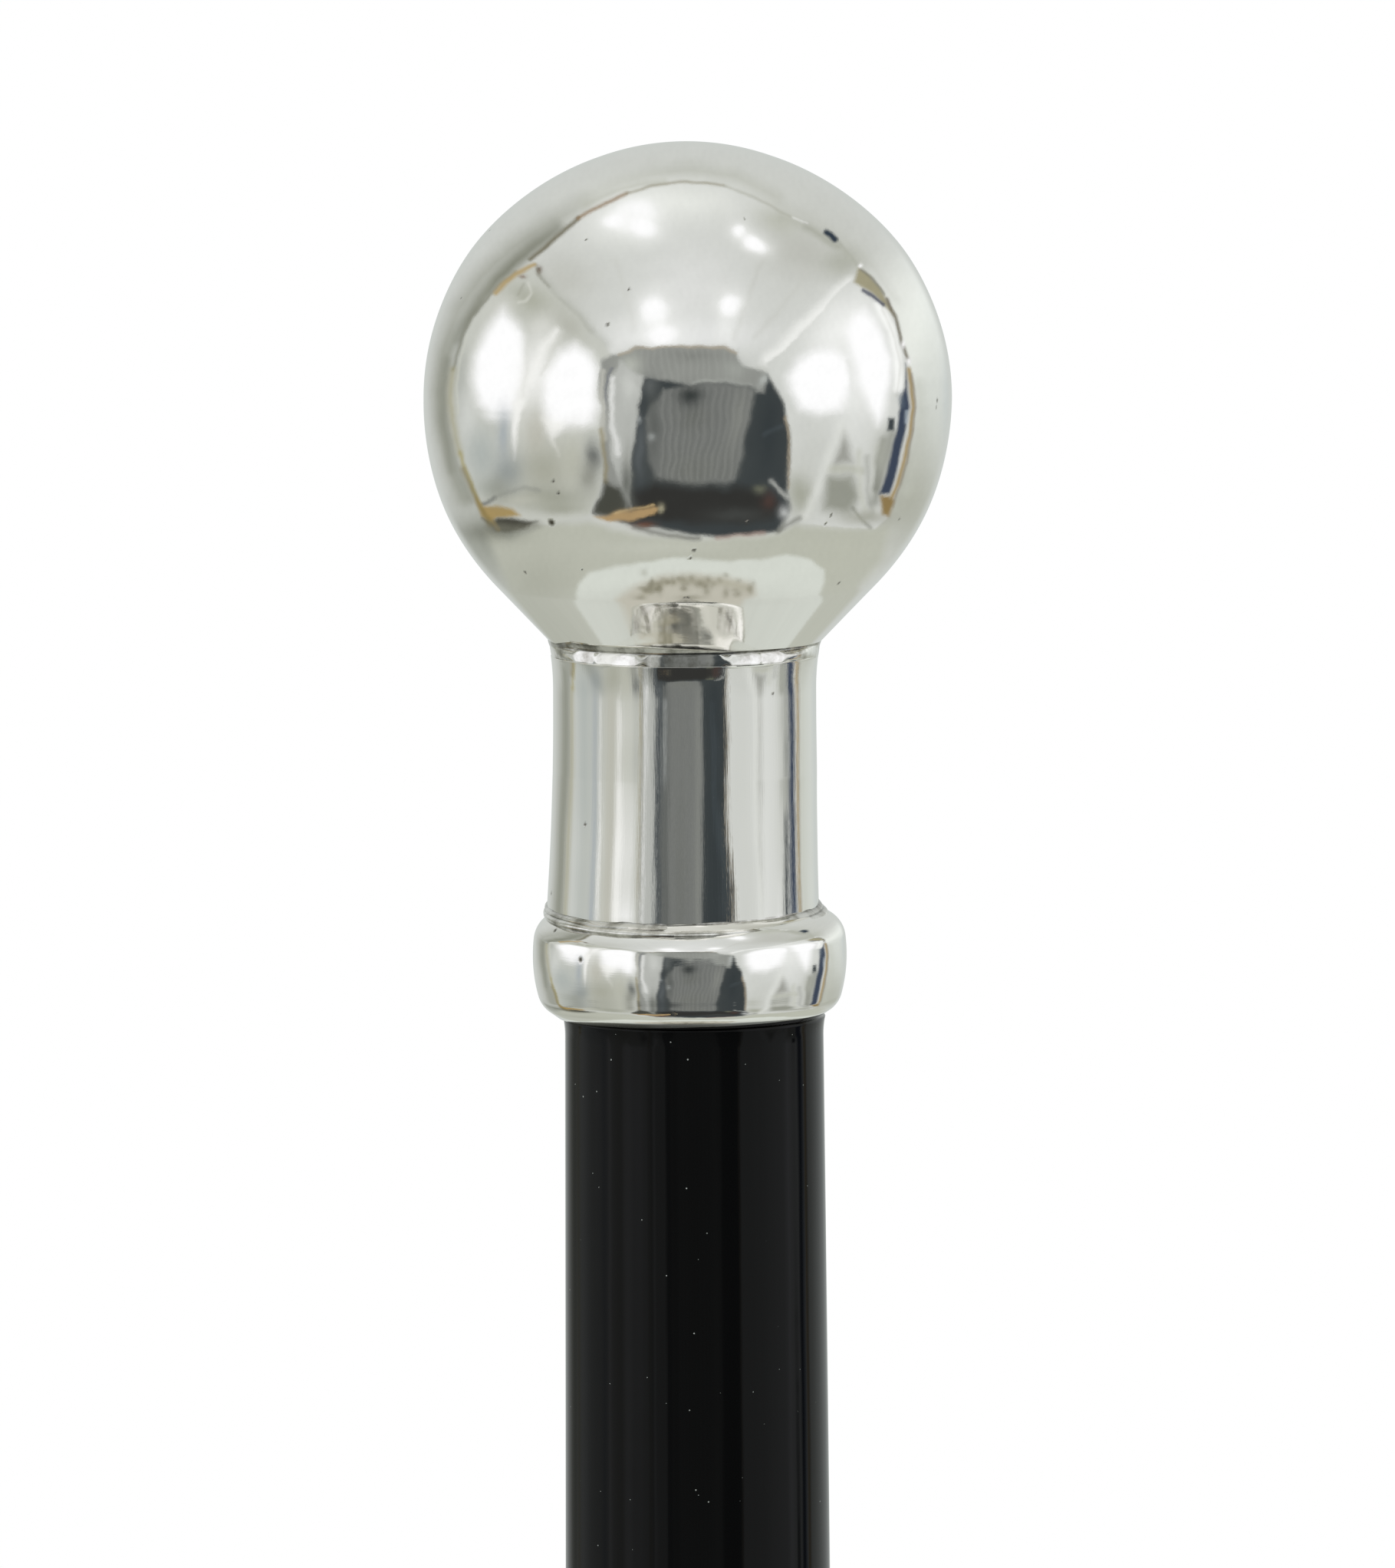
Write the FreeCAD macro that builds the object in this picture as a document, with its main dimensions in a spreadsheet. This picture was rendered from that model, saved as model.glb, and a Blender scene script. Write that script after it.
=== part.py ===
"""Knob handle walking stick: a plated knob, neck and collar on a black lacquered shaft.

Millimetres, +Z up, origin on the floor under the middle of the rubber tip.
The handle is three plated pieces soldered together, filled with hard resin
round a steel stud, and glued over a tenon on the shaft. A rubber tip is pushed
onto the foot. Every piece is turned about the stick's axis, apart from the
hexagon nut that is cast into the knob.
"""

import FreeCAD, Part
import math
import os

import Sketcher
from FreeCAD import Vector

# Driving dimensions. Lengths are in millimetres and angles in degrees.

SIZES = {
    # Whole stick
    "overall_length": 930.0,

    # Shaft: round beech stock, a little slimmer where it meets the collar and at the foot
    "shaft_radius": 9.5,
    "shoulder_taper": 0.375,
    "belly_drop": 75.0,
    "foot_radius": 8.0,
    "foot_chamfer": 0.8,
    "cove_width": 0.12,
    "cove_height": 1.1,
    "tenon_recess": 2.0,
    "tenon_chamfer": 0.6,
    "pilot_point_angle": 59.0,

    # Knob: a flattened crown, a full side, and a cone down to the neck
    "ball_radius": 18.49,
    "crown_inset": 1.29,
    "crown_angle": 40.2,
    "underside_offset": 0.56,
    "underside_angle": 43.6,
    "knob_wall": 1.6,

    # Neck: an hourglass tube with a spigot at each end
    "neck_proud": 0.095,
    "neck_length": 18.65,
    "neck_top_flare": 0.33,
    "neck_foot_flare": 0.31,
    "neck_waist_drop": 3.5,
    "neck_wall": 1.42,
    "spigot_wall": 0.9,
    "spigot_length": 2.5,

    # Collar: a barrel bead between two slopes
    "collar_projection": 1.54,
    "collar_barrel_radius": 11.0,
    "collar_upper_angle": 8.0,
    "collar_upper_round": 2.3,
    "collar_upper_slope_angle": 45.0,
    "collar_lower_angle": 14.5,
    "collar_lower_round": 2.1,
    "collar_lower_slope_angle": 50.0,
    "collar_lip_step": 0.05,

    # Solder in the two seams of the handle, wiped flat across the crease
    "upper_solder_leg": 0.55,
    "lower_solder_leg": 0.75,

    # Stud, nut and washer that are cast into the knob
    "stud_radius": 4.0,
    "stud_upper_length": 22.0,
    "stud_lower_length": 42.0,
    "stud_chamfer": 0.8,
    "stud_point_length": 6.0,
    "stud_point_radius": 0.5,
    "anchor_rise": 8.0,
    "nut_across_flats": 13.0,
    "nut_thickness": 6.5,
    "nut_chamfer_angle": 30.0,
    "nut_chamfer_inset": 0.3,
    "washer_radius": 7.4,
    "washer_thickness": 1.6,

    # Rubber tip: a socket for the foot, a flared base and ring treads
    "tip_height": 38.0,
    "tip_floor": 7.5,
    "tip_wall": 2.1,
    "tip_bead": 0.8,
    "tip_bead_height": 3.2,
    "tip_mouth_chamfer": 0.7,
    "tip_body_gain": 0.7,
    "tip_flare_width": 3.6,
    "tip_flare_height": 9.0,
    "tip_band_height": 5.0,
    "tip_edge_chamfer": 1.2,
    "tread_pad_radius": 3.0,
    "tread_groove_width": 1.3,
    "tread_groove_depth": 1.2,
    "tip_disc_thickness": 1.5,
    "tip_disc_edge": 0.4,

    # Fits
    "seat_clearance": 0.03,
    "glue_gap": 0.05,
    "cure_gap": 0.05,
    "tip_clearance": 0.06,
    "cut_overrun": 1.0,
}

TREAD_GROOVES = 3
NUT_SIDES = 6

document = FreeCAD.newDocument("knob_handle_walking_stick")
sheet = document.addObject("Spreadsheet::Sheet", "Sizes")
for row, (alias, value) in enumerate(SIZES.items(), start=1):
    sheet.set(f"A{row}", alias)
    sheet.set(f"B{row}", str(value))
    sheet.setAlias(f"B{row}", alias)
document.recompute()


# Sizes that carry their formula


class Size:
    """A length or angle, with the formula that ties it to the sheet."""

    def __init__(self, value, formula):
        self.value = value
        self.formula = formula

    def __add__(self, other):
        return Size(self.value + other.value, f"({self.formula} + {other.formula})")

    def __sub__(self, other):
        return Size(self.value - other.value, f"({self.formula} - {other.formula})")

    def __mul__(self, other):
        return Size(self.value * other.value, f"({self.formula} * {other.formula})")

    def __truediv__(self, other):
        return Size(self.value / other.value, f"({self.formula} / {other.formula})")

    def __neg__(self):
        return Size(-self.value, f"(0 - {self.formula})")


def number(plain):
    return Size(float(plain), str(plain))


def size(alias):
    return Size(float(sheet.get(alias)), f"Sizes.{alias}")


def root(square):
    return Size(math.sqrt(square.value), f"sqrt({square.formula})")


def cosine(angle):
    return Size(math.cos(math.radians(angle.value)), f"cos({angle.formula})")


def sine(angle):
    return Size(math.sin(math.radians(angle.value)), f"sin({angle.formula})")


def tangent(angle):
    return Size(math.tan(math.radians(angle.value)), f"tan({angle.formula})")


ZERO = number(0)
TWO = number(2)


def rise_radius(run, rise):
    """The radius of an arc that starts along a line and rises off it over a run."""
    return (run * run + rise * rise) / (rise * TWO)


def rise_at(radius, run):
    """How far that arc has risen off the line after a run."""
    return radius - root(radius * radius - run * run)


# Sketches and features


class Outline:
    """A closed outline of lines and arcs, drawn with the material on its left."""

    def __init__(self, across, up):
        self.corners = [(across, up)]
        self.edges = []

    def line(self, across, up):
        return self.edge(across, up, None)

    def bulge(self, across, up, radius):
        return self.edge(across, up, (radius, 1))

    def hollow(self, across, up, radius):
        return self.edge(across, up, (radius, -1))

    def edge(self, across, up, bend):
        self.corners.append((across, up))
        self.edges.append(bend)
        return self


def box_outline(left, low, right, high):
    return Outline(left, low).line(right, low).line(right, high).line(left, high)


def arc_between(start, end, radius, turn):
    """The shorter arc from start to end, turning left (1) or right (-1)."""
    chord = end - start
    half = chord.Length / 2
    reach = math.sqrt(radius * radius - half * half)
    side = Vector(-chord.y, chord.x, 0).normalize() * turn
    centre = start + chord * 0.5 + side * reach
    first, last = (start, end) if turn > 0 else (end, start)
    begin = math.atan2(first.y - centre.y, first.x - centre.x)
    finish = math.atan2(last.y - centre.y, last.x - centre.x)
    return Part.ArcOfCircle(Part.Circle(centre, Vector(0, 0, 1), radius), begin, finish)


def dimension(sketch, label, length, kind, *places):
    """Adds a dimension to a sketch and ties it to the sheet."""
    index = sketch.addConstraint(Sketcher.Constraint(kind, *places, length.value))
    sketch.renameConstraint(index, label)
    sketch.setExpression(f"Constraints.{label}", length.formula)


def draw(sketch, outline, label):
    """Draws an outline in a sketch, with every corner and radius dimensioned."""
    origin, first, second = -1, 1, 2
    edges = outline.edges + [None]
    points = [Vector(across.value, up.value, 0) for across, up in outline.corners]
    starts, ends = [], []
    for index, bend in enumerate(edges):
        start, end = points[index], points[(index + 1) % len(points)]
        if bend is None:
            edge = sketch.addGeometry(Part.LineSegment(start, end))
            turn = 1
        else:
            radius, turn = bend
            edge = sketch.addGeometry(arc_between(start, end, radius.value, turn))
            dimension(sketch, f"{label}_bend_{index}", radius, "Radius", edge)
        starts.append((edge, first if turn > 0 else second))
        ends.append((edge, second if turn > 0 else first))
    for index, (across, up) in enumerate(outline.corners):
        before = ends[index - 1]
        sketch.addConstraint(Sketcher.Constraint("Coincident", *before, *starts[index]))
        dimension(sketch, f"{label}_across_{index}", across, "DistanceX", origin, first, *starts[index])
        dimension(sketch, f"{label}_up_{index}", up, "DistanceY", origin, first, *starts[index])


def sketch_on(body, plane, label, outlines):
    """A sketch on one of the body's own origin planes."""
    sketch = body.newObject("Sketcher::SketchObject", f"{body.Name}_{label}")
    faces = [item for item in body.Origin.OriginFeatures if item.Role == plane]
    sketch.AttachmentSupport = (faces[0], [""])
    sketch.MapMode = "FlatFace"
    for index, outline in enumerate(outlines):
        draw(sketch, outline, f"outline_{index}")
    return sketch


def new_body(name, height):
    """A body that stands on the stick's axis at a height above the floor."""
    body = document.addObject("PartDesign::Body", name)
    body.Label = name
    body.Placement.Base = Vector(0, 0, height.value)
    body.setExpression("Placement.Base.z", height.formula)
    return body


def turn(body, *outlines):
    """Adds the solid that outlines sweep about the stick's axis."""
    sketch = sketch_on(body, "XZ_Plane", "profile", outlines)
    revolution = body.newObject("PartDesign::Revolution", f"{body.Name}_turning")
    revolution.Profile = sketch
    revolution.ReferenceAxis = (sketch, ["V_Axis"])
    return revolution


def turn_away(body, *outlines):
    """Cuts the solid that outlines sweep about the stick's axis."""
    sketch = sketch_on(body, "XZ_Plane", "cut_profile", outlines)
    groove = body.newObject("PartDesign::Groove", f"{body.Name}_cut")
    groove.Profile = sketch
    groove.ReferenceAxis = (sketch, ["V_Axis"])
    return groove


def hexagon(across_flats):
    """A hexagon about the origin, with two corners on the X axis."""
    corner_radius = across_flats / root(number(3))
    corners = []
    for side in range(NUT_SIDES):
        angle = number(side * 360 / NUT_SIDES)
        corners.append((corner_radius * cosine(angle), corner_radius * sine(angle)))
    outline = Outline(*corners[0])
    for corner in corners[1:]:
        outline.line(*corner)
    return outline


# Radii that several pieces share

SHAFT_TOP = size("shaft_radius") - size("shoulder_taper")
SHOULDER_EDGE = SHAFT_TOP + size("cove_width")
NECK_WAIST = SHAFT_TOP + size("neck_proud")
NECK_TOP = NECK_WAIST + size("neck_top_flare")
NECK_FOOT = NECK_WAIST + size("neck_foot_flare")
HANDLE_BORE = NECK_WAIST - size("neck_wall")
TENON = HANDLE_BORE - size("glue_gap")
SPIGOT = HANDLE_BORE + size("spigot_wall")
SPIGOT_SEAT = SPIGOT + size("seat_clearance")
PILOT = size("stud_radius") + size("glue_gap")
SOCKET = size("foot_radius") + size("tip_clearance")

# Knob: a cap arc on the axis, a side arc about a ring inside the equator,
# and an underside arc that runs out tangentially into the cone

SIDE_RADIUS = size("ball_radius") - size("crown_inset")
CROWN_RADIUS = SIDE_RADIUS + size("crown_inset") / cosine(size("crown_angle"))
CROWN_HEIGHT = CROWN_RADIUS - size("crown_inset") * tangent(size("crown_angle"))
UNDERSIDE_RADIUS = size("ball_radius") + size("underside_offset")


def on_underside(angle, inward):
    """A point on the underside's arc, at an angle below the equator."""
    radius = UNDERSIDE_RADIUS - inward
    return radius * cosine(angle) - size("underside_offset"), -(radius * sine(angle))


def on_side(angle, inward):
    """A point on the side's arc, at an angle above the equator."""
    radius = SIDE_RADIUS - inward
    return size("crown_inset") + radius * cosine(angle), radius * sine(angle)


def on_crown(angle, inward):
    """A point on the crown's arc, whose centre is on the axis."""
    radius = CROWN_RADIUS - inward
    return radius * cosine(angle), radius * sine(angle) - size("crown_inset") * tangent(size("crown_angle"))


def cone_start(inward):
    """Where the underside's arc runs out into the cone."""
    return on_underside(size("underside_angle"), inward)


def cone_up_at(across, inward):
    start_across, start_up = cone_start(inward)
    return start_up - (start_across - across) / tangent(size("underside_angle"))


def cone_across_at(up, inward):
    start_across, start_up = cone_start(inward)
    return start_across - (start_up - up) * tangent(size("underside_angle"))


def run_over_knob(outline):
    """Takes an outline from the cone up to the pole, over the polished outside."""
    outline.line(*cone_start(ZERO))
    outline.bulge(size("ball_radius"), ZERO, UNDERSIDE_RADIUS)
    outline.bulge(*on_side(size("crown_angle"), ZERO), SIDE_RADIUS)
    outline.bulge(ZERO, CROWN_HEIGHT, CROWN_RADIUS)


def run_inside_knob(outline, inward):
    """Takes an outline from the cone up to the pole in the straight runs that the core is turned in."""
    crown_middle = (number(90) + size("crown_angle")) / TWO
    outline.line(*cone_start(inward))
    outline.line(*on_underside(size("underside_angle") / TWO, inward))
    outline.line(size("ball_radius") - inward, ZERO)
    outline.line(*on_side(size("crown_angle") / TWO, inward))
    outline.line(*on_side(size("crown_angle"), inward))
    outline.line(*on_crown(crown_middle, inward))
    outline.line(ZERO, CROWN_HEIGHT - inward)


CREASE = cone_up_at(NECK_TOP, ZERO)

# Collar: a barrel whose two ends run through rounds into straight slopes

COLLAR_RADIUS = NECK_FOOT + size("collar_projection")
COLLAR_LIP = SHOULDER_EDGE + size("collar_lip_step")


def on_collar_round(side, angle):
    """A point on the collar's upper or lower round, with up counted from its middle."""
    bend = size(f"collar_{side}_round")
    begin = size(f"collar_{side}_angle")
    reach = size("collar_barrel_radius") - bend
    across = COLLAR_RADIUS - size("collar_barrel_radius") + reach * cosine(begin) + bend * cosine(angle)
    return across, reach * sine(begin) + bend * sine(angle)


def collar_end(side, rim):
    """How far from the barrel's middle the collar's slope reaches a rim."""
    slope = size(f"collar_{side}_slope_angle")
    across, up = on_collar_round(side, slope)
    return up + (across - rim) / tangent(slope)


COLLAR_TOP = collar_end("upper", NECK_FOOT)
COLLAR_FOOT = -collar_end("lower", COLLAR_LIP)

# Neck: its two flares leave the waist tangentially

TOP_FLARE_RADIUS = rise_radius(size("neck_waist_drop"), size("neck_top_flare"))
FOOT_FLARE_RUN = size("neck_length") - size("neck_waist_drop")
FOOT_FLARE_RADIUS = rise_radius(FOOT_FLARE_RUN, size("neck_foot_flare"))

# Levels above the floor

KNOB_LEVEL = size("overall_length") - CROWN_HEIGHT
CREASE_LEVEL = KNOB_LEVEL + CREASE
NECK_FOOT_LEVEL = CREASE_LEVEL - size("neck_length")
COLLAR_LEVEL = NECK_FOOT_LEVEL - COLLAR_TOP
SHOULDER_LEVEL = COLLAR_LEVEL + COLLAR_FOOT
TENON_LEVEL = CREASE_LEVEL - size("tenon_recess")
WASHER_LEVEL = TENON_LEVEL + size("anchor_rise")
NUT_LEVEL = WASHER_LEVEL + size("washer_thickness")
FOOT_LEVEL = size("tip_floor") + size("tip_disc_thickness")


def shaft():
    """Lacquered beech: a straight foot, a long taper, a belly, and the tenon with its pilot bore."""
    foot, foot_chamfer = size("foot_radius"), size("foot_chamfer")
    shoulder = SHOULDER_LEVEL - FOOT_LEVEL
    belly_run = size("belly_drop") - size("cove_height")
    tenon_top = TENON_LEVEL - FOOT_LEVEL
    tenon_chamfer = size("tenon_chamfer")
    pilot_foot = tenon_top - size("stud_lower_length") - size("glue_gap")
    outline = Outline(ZERO, ZERO)
    outline.line(foot - foot_chamfer, ZERO)
    outline.line(foot, foot_chamfer)
    outline.line(foot, size("tip_height") - FOOT_LEVEL)
    outline.line(size("shaft_radius"), shoulder - size("belly_drop"))
    outline.bulge(SHAFT_TOP, shoulder - size("cove_height"), rise_radius(belly_run, size("shoulder_taper")))
    outline.hollow(SHOULDER_EDGE, shoulder, rise_radius(size("cove_height"), size("cove_width")))
    outline.line(TENON, shoulder)
    outline.line(TENON, tenon_top - tenon_chamfer)
    outline.line(TENON - tenon_chamfer, tenon_top)
    outline.line(PILOT, tenon_top)
    outline.line(PILOT, pilot_foot)
    outline.line(ZERO, pilot_foot - PILOT / tangent(size("pilot_point_angle")))
    turn(new_body("shaft", FOOT_LEVEL), outline)


def knob_ball():
    """Cast brass shell, plated: a wall of one thickness at the core's corners, open below for the spigot."""
    outside = Outline(ZERO, CREASE).line(NECK_TOP, CREASE)
    run_over_knob(outside)
    below = CREASE - size("cut_overrun")
    inside = Outline(ZERO, below).line(SPIGOT_SEAT, below)
    inside.line(SPIGOT_SEAT, cone_up_at(SPIGOT_SEAT, size("knob_wall")))
    run_inside_knob(inside, size("knob_wall"))
    body = new_body("knob_ball", KNOB_LEVEL)
    turn(body, outside)
    turn_away(body, inside)


def neck_sleeve():
    """Turned brass tube, plated: an hourglass with a spigot above and below."""
    length, spigot_length = size("neck_length"), size("spigot_length")
    outline = Outline(HANDLE_BORE, -(length + spigot_length))
    outline.line(SPIGOT, -(length + spigot_length))
    outline.line(SPIGOT, -length)
    outline.line(NECK_FOOT, -length)
    outline.hollow(NECK_WAIST, -size("neck_waist_drop"), FOOT_FLARE_RADIUS)
    outline.hollow(NECK_TOP, ZERO, TOP_FLARE_RADIUS)
    outline.line(SPIGOT, ZERO)
    outline.line(SPIGOT, spigot_length)
    outline.line(HANDLE_BORE, spigot_length)
    turn(new_body("neck_sleeve", CREASE_LEVEL), outline)


def collar_bead():
    """Turned brass ring, plated: seats on the shaft's shoulder and takes the neck's lower spigot."""
    register_floor = COLLAR_TOP - size("spigot_length") - size("seat_clearance")
    barrel, upper_bend, lower_bend = (
        size("collar_barrel_radius"), size("collar_upper_round"), size("collar_lower_round")
    )
    lower_slope = on_collar_round("lower", size("collar_lower_slope_angle"))
    lower_end = on_collar_round("lower", size("collar_lower_angle"))
    upper_end = on_collar_round("upper", size("collar_upper_angle"))
    upper_slope = on_collar_round("upper", size("collar_upper_slope_angle"))
    outline = Outline(HANDLE_BORE, COLLAR_FOOT)
    outline.line(COLLAR_LIP, COLLAR_FOOT)
    outline.line(lower_slope[0], -lower_slope[1])
    outline.bulge(lower_end[0], -lower_end[1], lower_bend)
    outline.bulge(*upper_end, barrel)
    outline.bulge(*upper_slope, upper_bend)
    outline.line(NECK_FOOT, COLLAR_TOP)
    outline.line(SPIGOT_SEAT, COLLAR_TOP)
    outline.line(SPIGOT_SEAT, register_floor)
    outline.line(HANDLE_BORE, register_floor)
    turn(new_body("collar_bead", COLLAR_LEVEL), outline)


def upper_solder_ring():
    """Solder drawn into the crease between the knob's cone and the neck."""
    leg, cone = size("upper_solder_leg"), size("underside_angle")
    neck_side = NECK_WAIST + rise_at(TOP_FLARE_RADIUS, size("neck_waist_drop") - leg)
    outline = Outline(NECK_TOP, ZERO)
    outline.bulge(neck_side, -leg, TOP_FLARE_RADIUS)
    outline.line(NECK_TOP + leg * sine(cone), leg * cosine(cone))
    turn(new_body("upper_solder_ring", CREASE_LEVEL), outline)


def lower_solder_ring():
    """Solder drawn into the crease between the neck and the collar's slope."""
    leg, slope = size("lower_solder_leg"), size("collar_upper_slope_angle")
    neck_side = NECK_WAIST + rise_at(FOOT_FLARE_RADIUS, FOOT_FLARE_RUN - leg)
    outline = Outline(NECK_FOOT + leg * sine(slope), -(leg * cosine(slope)))
    outline.line(neck_side, leg)
    outline.bulge(NECK_FOOT, ZERO, FOOT_FLARE_RADIUS)
    turn(new_body("lower_solder_ring", NECK_FOOT_LEVEL), outline)


def handle_stud():
    """Steel hanger bolt: a chamfered end in the knob and a pointed end in the shaft."""
    shank, chamfer = size("stud_radius"), size("stud_chamfer")
    upper, lower = size("stud_upper_length"), size("stud_lower_length")
    outline = Outline(ZERO, -lower)
    outline.line(size("stud_point_radius"), -lower)
    outline.line(shank, size("stud_point_length") - lower)
    outline.line(shank, upper - chamfer)
    outline.line(shank - chamfer, upper)
    outline.line(ZERO, upper)
    turn(new_body("handle_stud", TENON_LEVEL), outline)


def anchor_washer():
    """Steel washer on the stud, cast into the resin under the nut."""
    body = new_body("anchor_washer", WASHER_LEVEL)
    turn(body, box_outline(PILOT, ZERO, size("washer_radius"), size("washer_thickness")))


def anchor_nut():
    """Steel hexagon nut on the stud, with its corners turned off at both faces."""
    body = new_body("anchor_nut", NUT_LEVEL)
    thickness = size("nut_thickness")
    sketch = sketch_on(body, "XY_Plane", "hexagon", [hexagon(size("nut_across_flats"))])
    pad = body.newObject("PartDesign::Pad", "anchor_nut_blank")
    pad.Profile = sketch
    pad.setExpression("Length", thickness.formula)
    face_edge = size("nut_across_flats") / TWO - size("nut_chamfer_inset")
    outer = size("nut_across_flats") / TWO + size("cut_overrun")
    drop = (outer - face_edge) * tangent(size("nut_chamfer_angle"))
    upper = Outline(face_edge, thickness).line(outer, thickness - drop).line(outer, thickness)
    lower = Outline(face_edge, ZERO).line(outer, ZERO).line(outer, drop)
    bore = box_outline(ZERO, ZERO, PILOT, thickness)
    turn_away(body, upper, lower, bore)


def knob_filler():
    """Hard resin cast into the knob, round the nut and washer and down to the tenon."""
    gap = size("cure_gap")
    tenon_top = CREASE - size("tenon_recess")
    step = CREASE + size("spigot_length") + gap
    inward = size("knob_wall") + gap
    outline = Outline(ZERO, tenon_top)
    outline.line(HANDLE_BORE - gap, tenon_top)
    outline.line(HANDLE_BORE - gap, step)
    outline.line(cone_across_at(step, inward), step)
    run_inside_knob(outline, inward)
    body = new_body("knob_filler", KNOB_LEVEL)
    turn(body, outline)

    washer_foot = tenon_top + size("anchor_rise") - gap
    nut_foot = tenon_top + size("anchor_rise") + size("washer_thickness")
    nut_top = nut_foot + size("nut_thickness") + gap
    stud_top = tenon_top + size("stud_upper_length") + gap
    sketch = sketch_on(body, "XY_Plane", "hexagon", [hexagon(size("nut_across_flats") + gap * TWO)])
    sketch.AttachmentOffset.Base = Vector(0, 0, nut_top.value)
    sketch.setExpression("AttachmentOffset.Base.z", nut_top.formula)
    pocket = body.newObject("PartDesign::Pocket", "knob_filler_nut_space")
    pocket.Profile = sketch
    pocket.setExpression("Length", (nut_top - nut_foot).formula)

    stud_space = Outline(ZERO, tenon_top - size("cut_overrun"))
    stud_space.line(PILOT, tenon_top - size("cut_overrun"))
    stud_space.line(PILOT, washer_foot)
    stud_space.line(size("washer_radius") + gap, washer_foot)
    stud_space.line(size("washer_radius") + gap, nut_foot + gap)
    stud_space.line(PILOT, nut_foot + gap)
    stud_space.line(PILOT, stud_top)
    stud_space.line(ZERO, stud_top)
    turn_away(body, stud_space)


def rubber_tip():
    """Moulded rubber: a beaded mouth, a tapered body, a flared base and ring treads."""
    top, mouth = size("tip_height"), size("tip_mouth_chamfer")
    rim = SOCKET + size("tip_wall")
    flank = rim + size("tip_body_gain")
    base = flank + size("tip_flare_width")
    edge, band, bead = size("tip_edge_chamfer"), size("tip_band_height"), size("tip_bead")
    bead_foot = top - size("tip_bead_height")
    outline = Outline(ZERO, ZERO)
    outline.line(base - edge, ZERO)
    outline.line(base, edge)
    outline.line(base, band)
    outline.hollow(
        flank, band + size("tip_flare_height"), rise_radius(size("tip_flare_height"), size("tip_flare_width"))
    )
    outline.line(rim, bead_foot)
    outline.line(rim + bead, bead_foot + bead)
    outline.line(rim + bead, top - bead)
    outline.line(rim, top)
    outline.line(SOCKET + mouth, top)
    outline.line(SOCKET, top - mouth)
    outline.line(SOCKET, size("tip_floor"))
    outline.line(ZERO, size("tip_floor"))
    body = new_body("rubber_tip", ZERO)
    turn(body, outline)

    pitch = (base - edge - size("tread_pad_radius")) / number(TREAD_GROOVES)
    grooves = []
    for index in range(TREAD_GROOVES):
        inner = size("tread_pad_radius") + pitch * number(index)
        outer = inner + size("tread_groove_width")
        grooves.append(box_outline(inner, -size("cut_overrun"), outer, size("tread_groove_depth")))
    turn_away(body, *grooves)


def tip_disc():
    """Steel disc on the socket's floor, which keeps the foot from punching through the rubber."""
    radius, edge = SOCKET - size("seat_clearance"), size("tip_disc_edge")
    outline = Outline(ZERO, ZERO)
    outline.line(radius, ZERO)
    outline.line(radius, size("tip_disc_thickness") - edge)
    outline.line(radius - edge, size("tip_disc_thickness"))
    outline.line(ZERO, size("tip_disc_thickness"))
    turn(new_body("tip_disc", size("tip_floor")), outline)


rubber_tip()
tip_disc()
shaft()
collar_bead()
lower_solder_ring()
neck_sleeve()
upper_solder_ring()
knob_ball()
knob_filler()
anchor_washer()
anchor_nut()
handle_stud()
document.recompute()

for item in document.Objects:
    if "Invalid" in item.State or "Error" in item.State:
        raise RuntimeError(f"{item.Label} did not build: {item.State}")
bodies = [item for item in document.Objects if item.TypeId == "PartDesign::Body"]
for body in bodies:
    if body.Shape.isNull() or not body.Shape.isValid() or len(body.Shape.Solids) != 1:
        raise RuntimeError(f"{body.Label} is not one sound solid")

os.makedirs("parts", exist_ok=True)
for body in bodies:
    body.Shape.exportStep(f"parts/{body.Label}.step")
    box = body.Shape.optimalBoundingBox(False, False)
    print(f"{body.Label}: z {box.ZMin:.3f} to {box.ZMax:.3f}, radius {box.XMax:.3f}, {body.Shape.Volume:.2f} mm3")
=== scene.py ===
import math

import bpy
import numpy as np
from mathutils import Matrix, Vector


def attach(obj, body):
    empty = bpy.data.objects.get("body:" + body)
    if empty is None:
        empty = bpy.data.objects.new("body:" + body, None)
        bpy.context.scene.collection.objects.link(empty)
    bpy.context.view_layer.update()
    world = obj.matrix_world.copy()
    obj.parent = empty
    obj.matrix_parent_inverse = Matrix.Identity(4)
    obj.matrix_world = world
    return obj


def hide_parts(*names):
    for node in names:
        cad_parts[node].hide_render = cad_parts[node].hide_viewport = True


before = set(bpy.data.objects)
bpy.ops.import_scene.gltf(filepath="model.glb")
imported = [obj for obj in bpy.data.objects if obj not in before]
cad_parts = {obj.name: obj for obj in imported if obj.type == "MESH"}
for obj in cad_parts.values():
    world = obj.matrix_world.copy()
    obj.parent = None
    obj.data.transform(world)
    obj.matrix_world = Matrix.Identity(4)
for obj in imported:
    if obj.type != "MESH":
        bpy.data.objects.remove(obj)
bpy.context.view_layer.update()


# Camera. It stands 1.5 m in front of the stick with a long lens, looks down on it by
# 5.9 degrees, and is turned a third of a degree, so the stick leans in the picture.
# Places read in the picture are given in its pixels, as x and y from its top left.

picture_wide, picture_tall = 1819, 2044
camera = bpy.data.objects.new("camera", bpy.data.cameras.new("camera"))
bpy.context.scene.collection.objects.link(camera)
camera.location = (0.00035, -1.49205, 1.03922)
camera.rotation_mode = "ZXY"
camera.rotation_euler = (math.radians(90 - 5.9), 0, 0)
camera.rotation_euler.rotate_axis("Z", math.radians(-0.345))
camera.data.sensor_width = 36
camera.data.lens = 491.3
camera.data.clip_start = 0.1
bpy.context.scene.camera = camera
bpy.context.view_layer.update()


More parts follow.
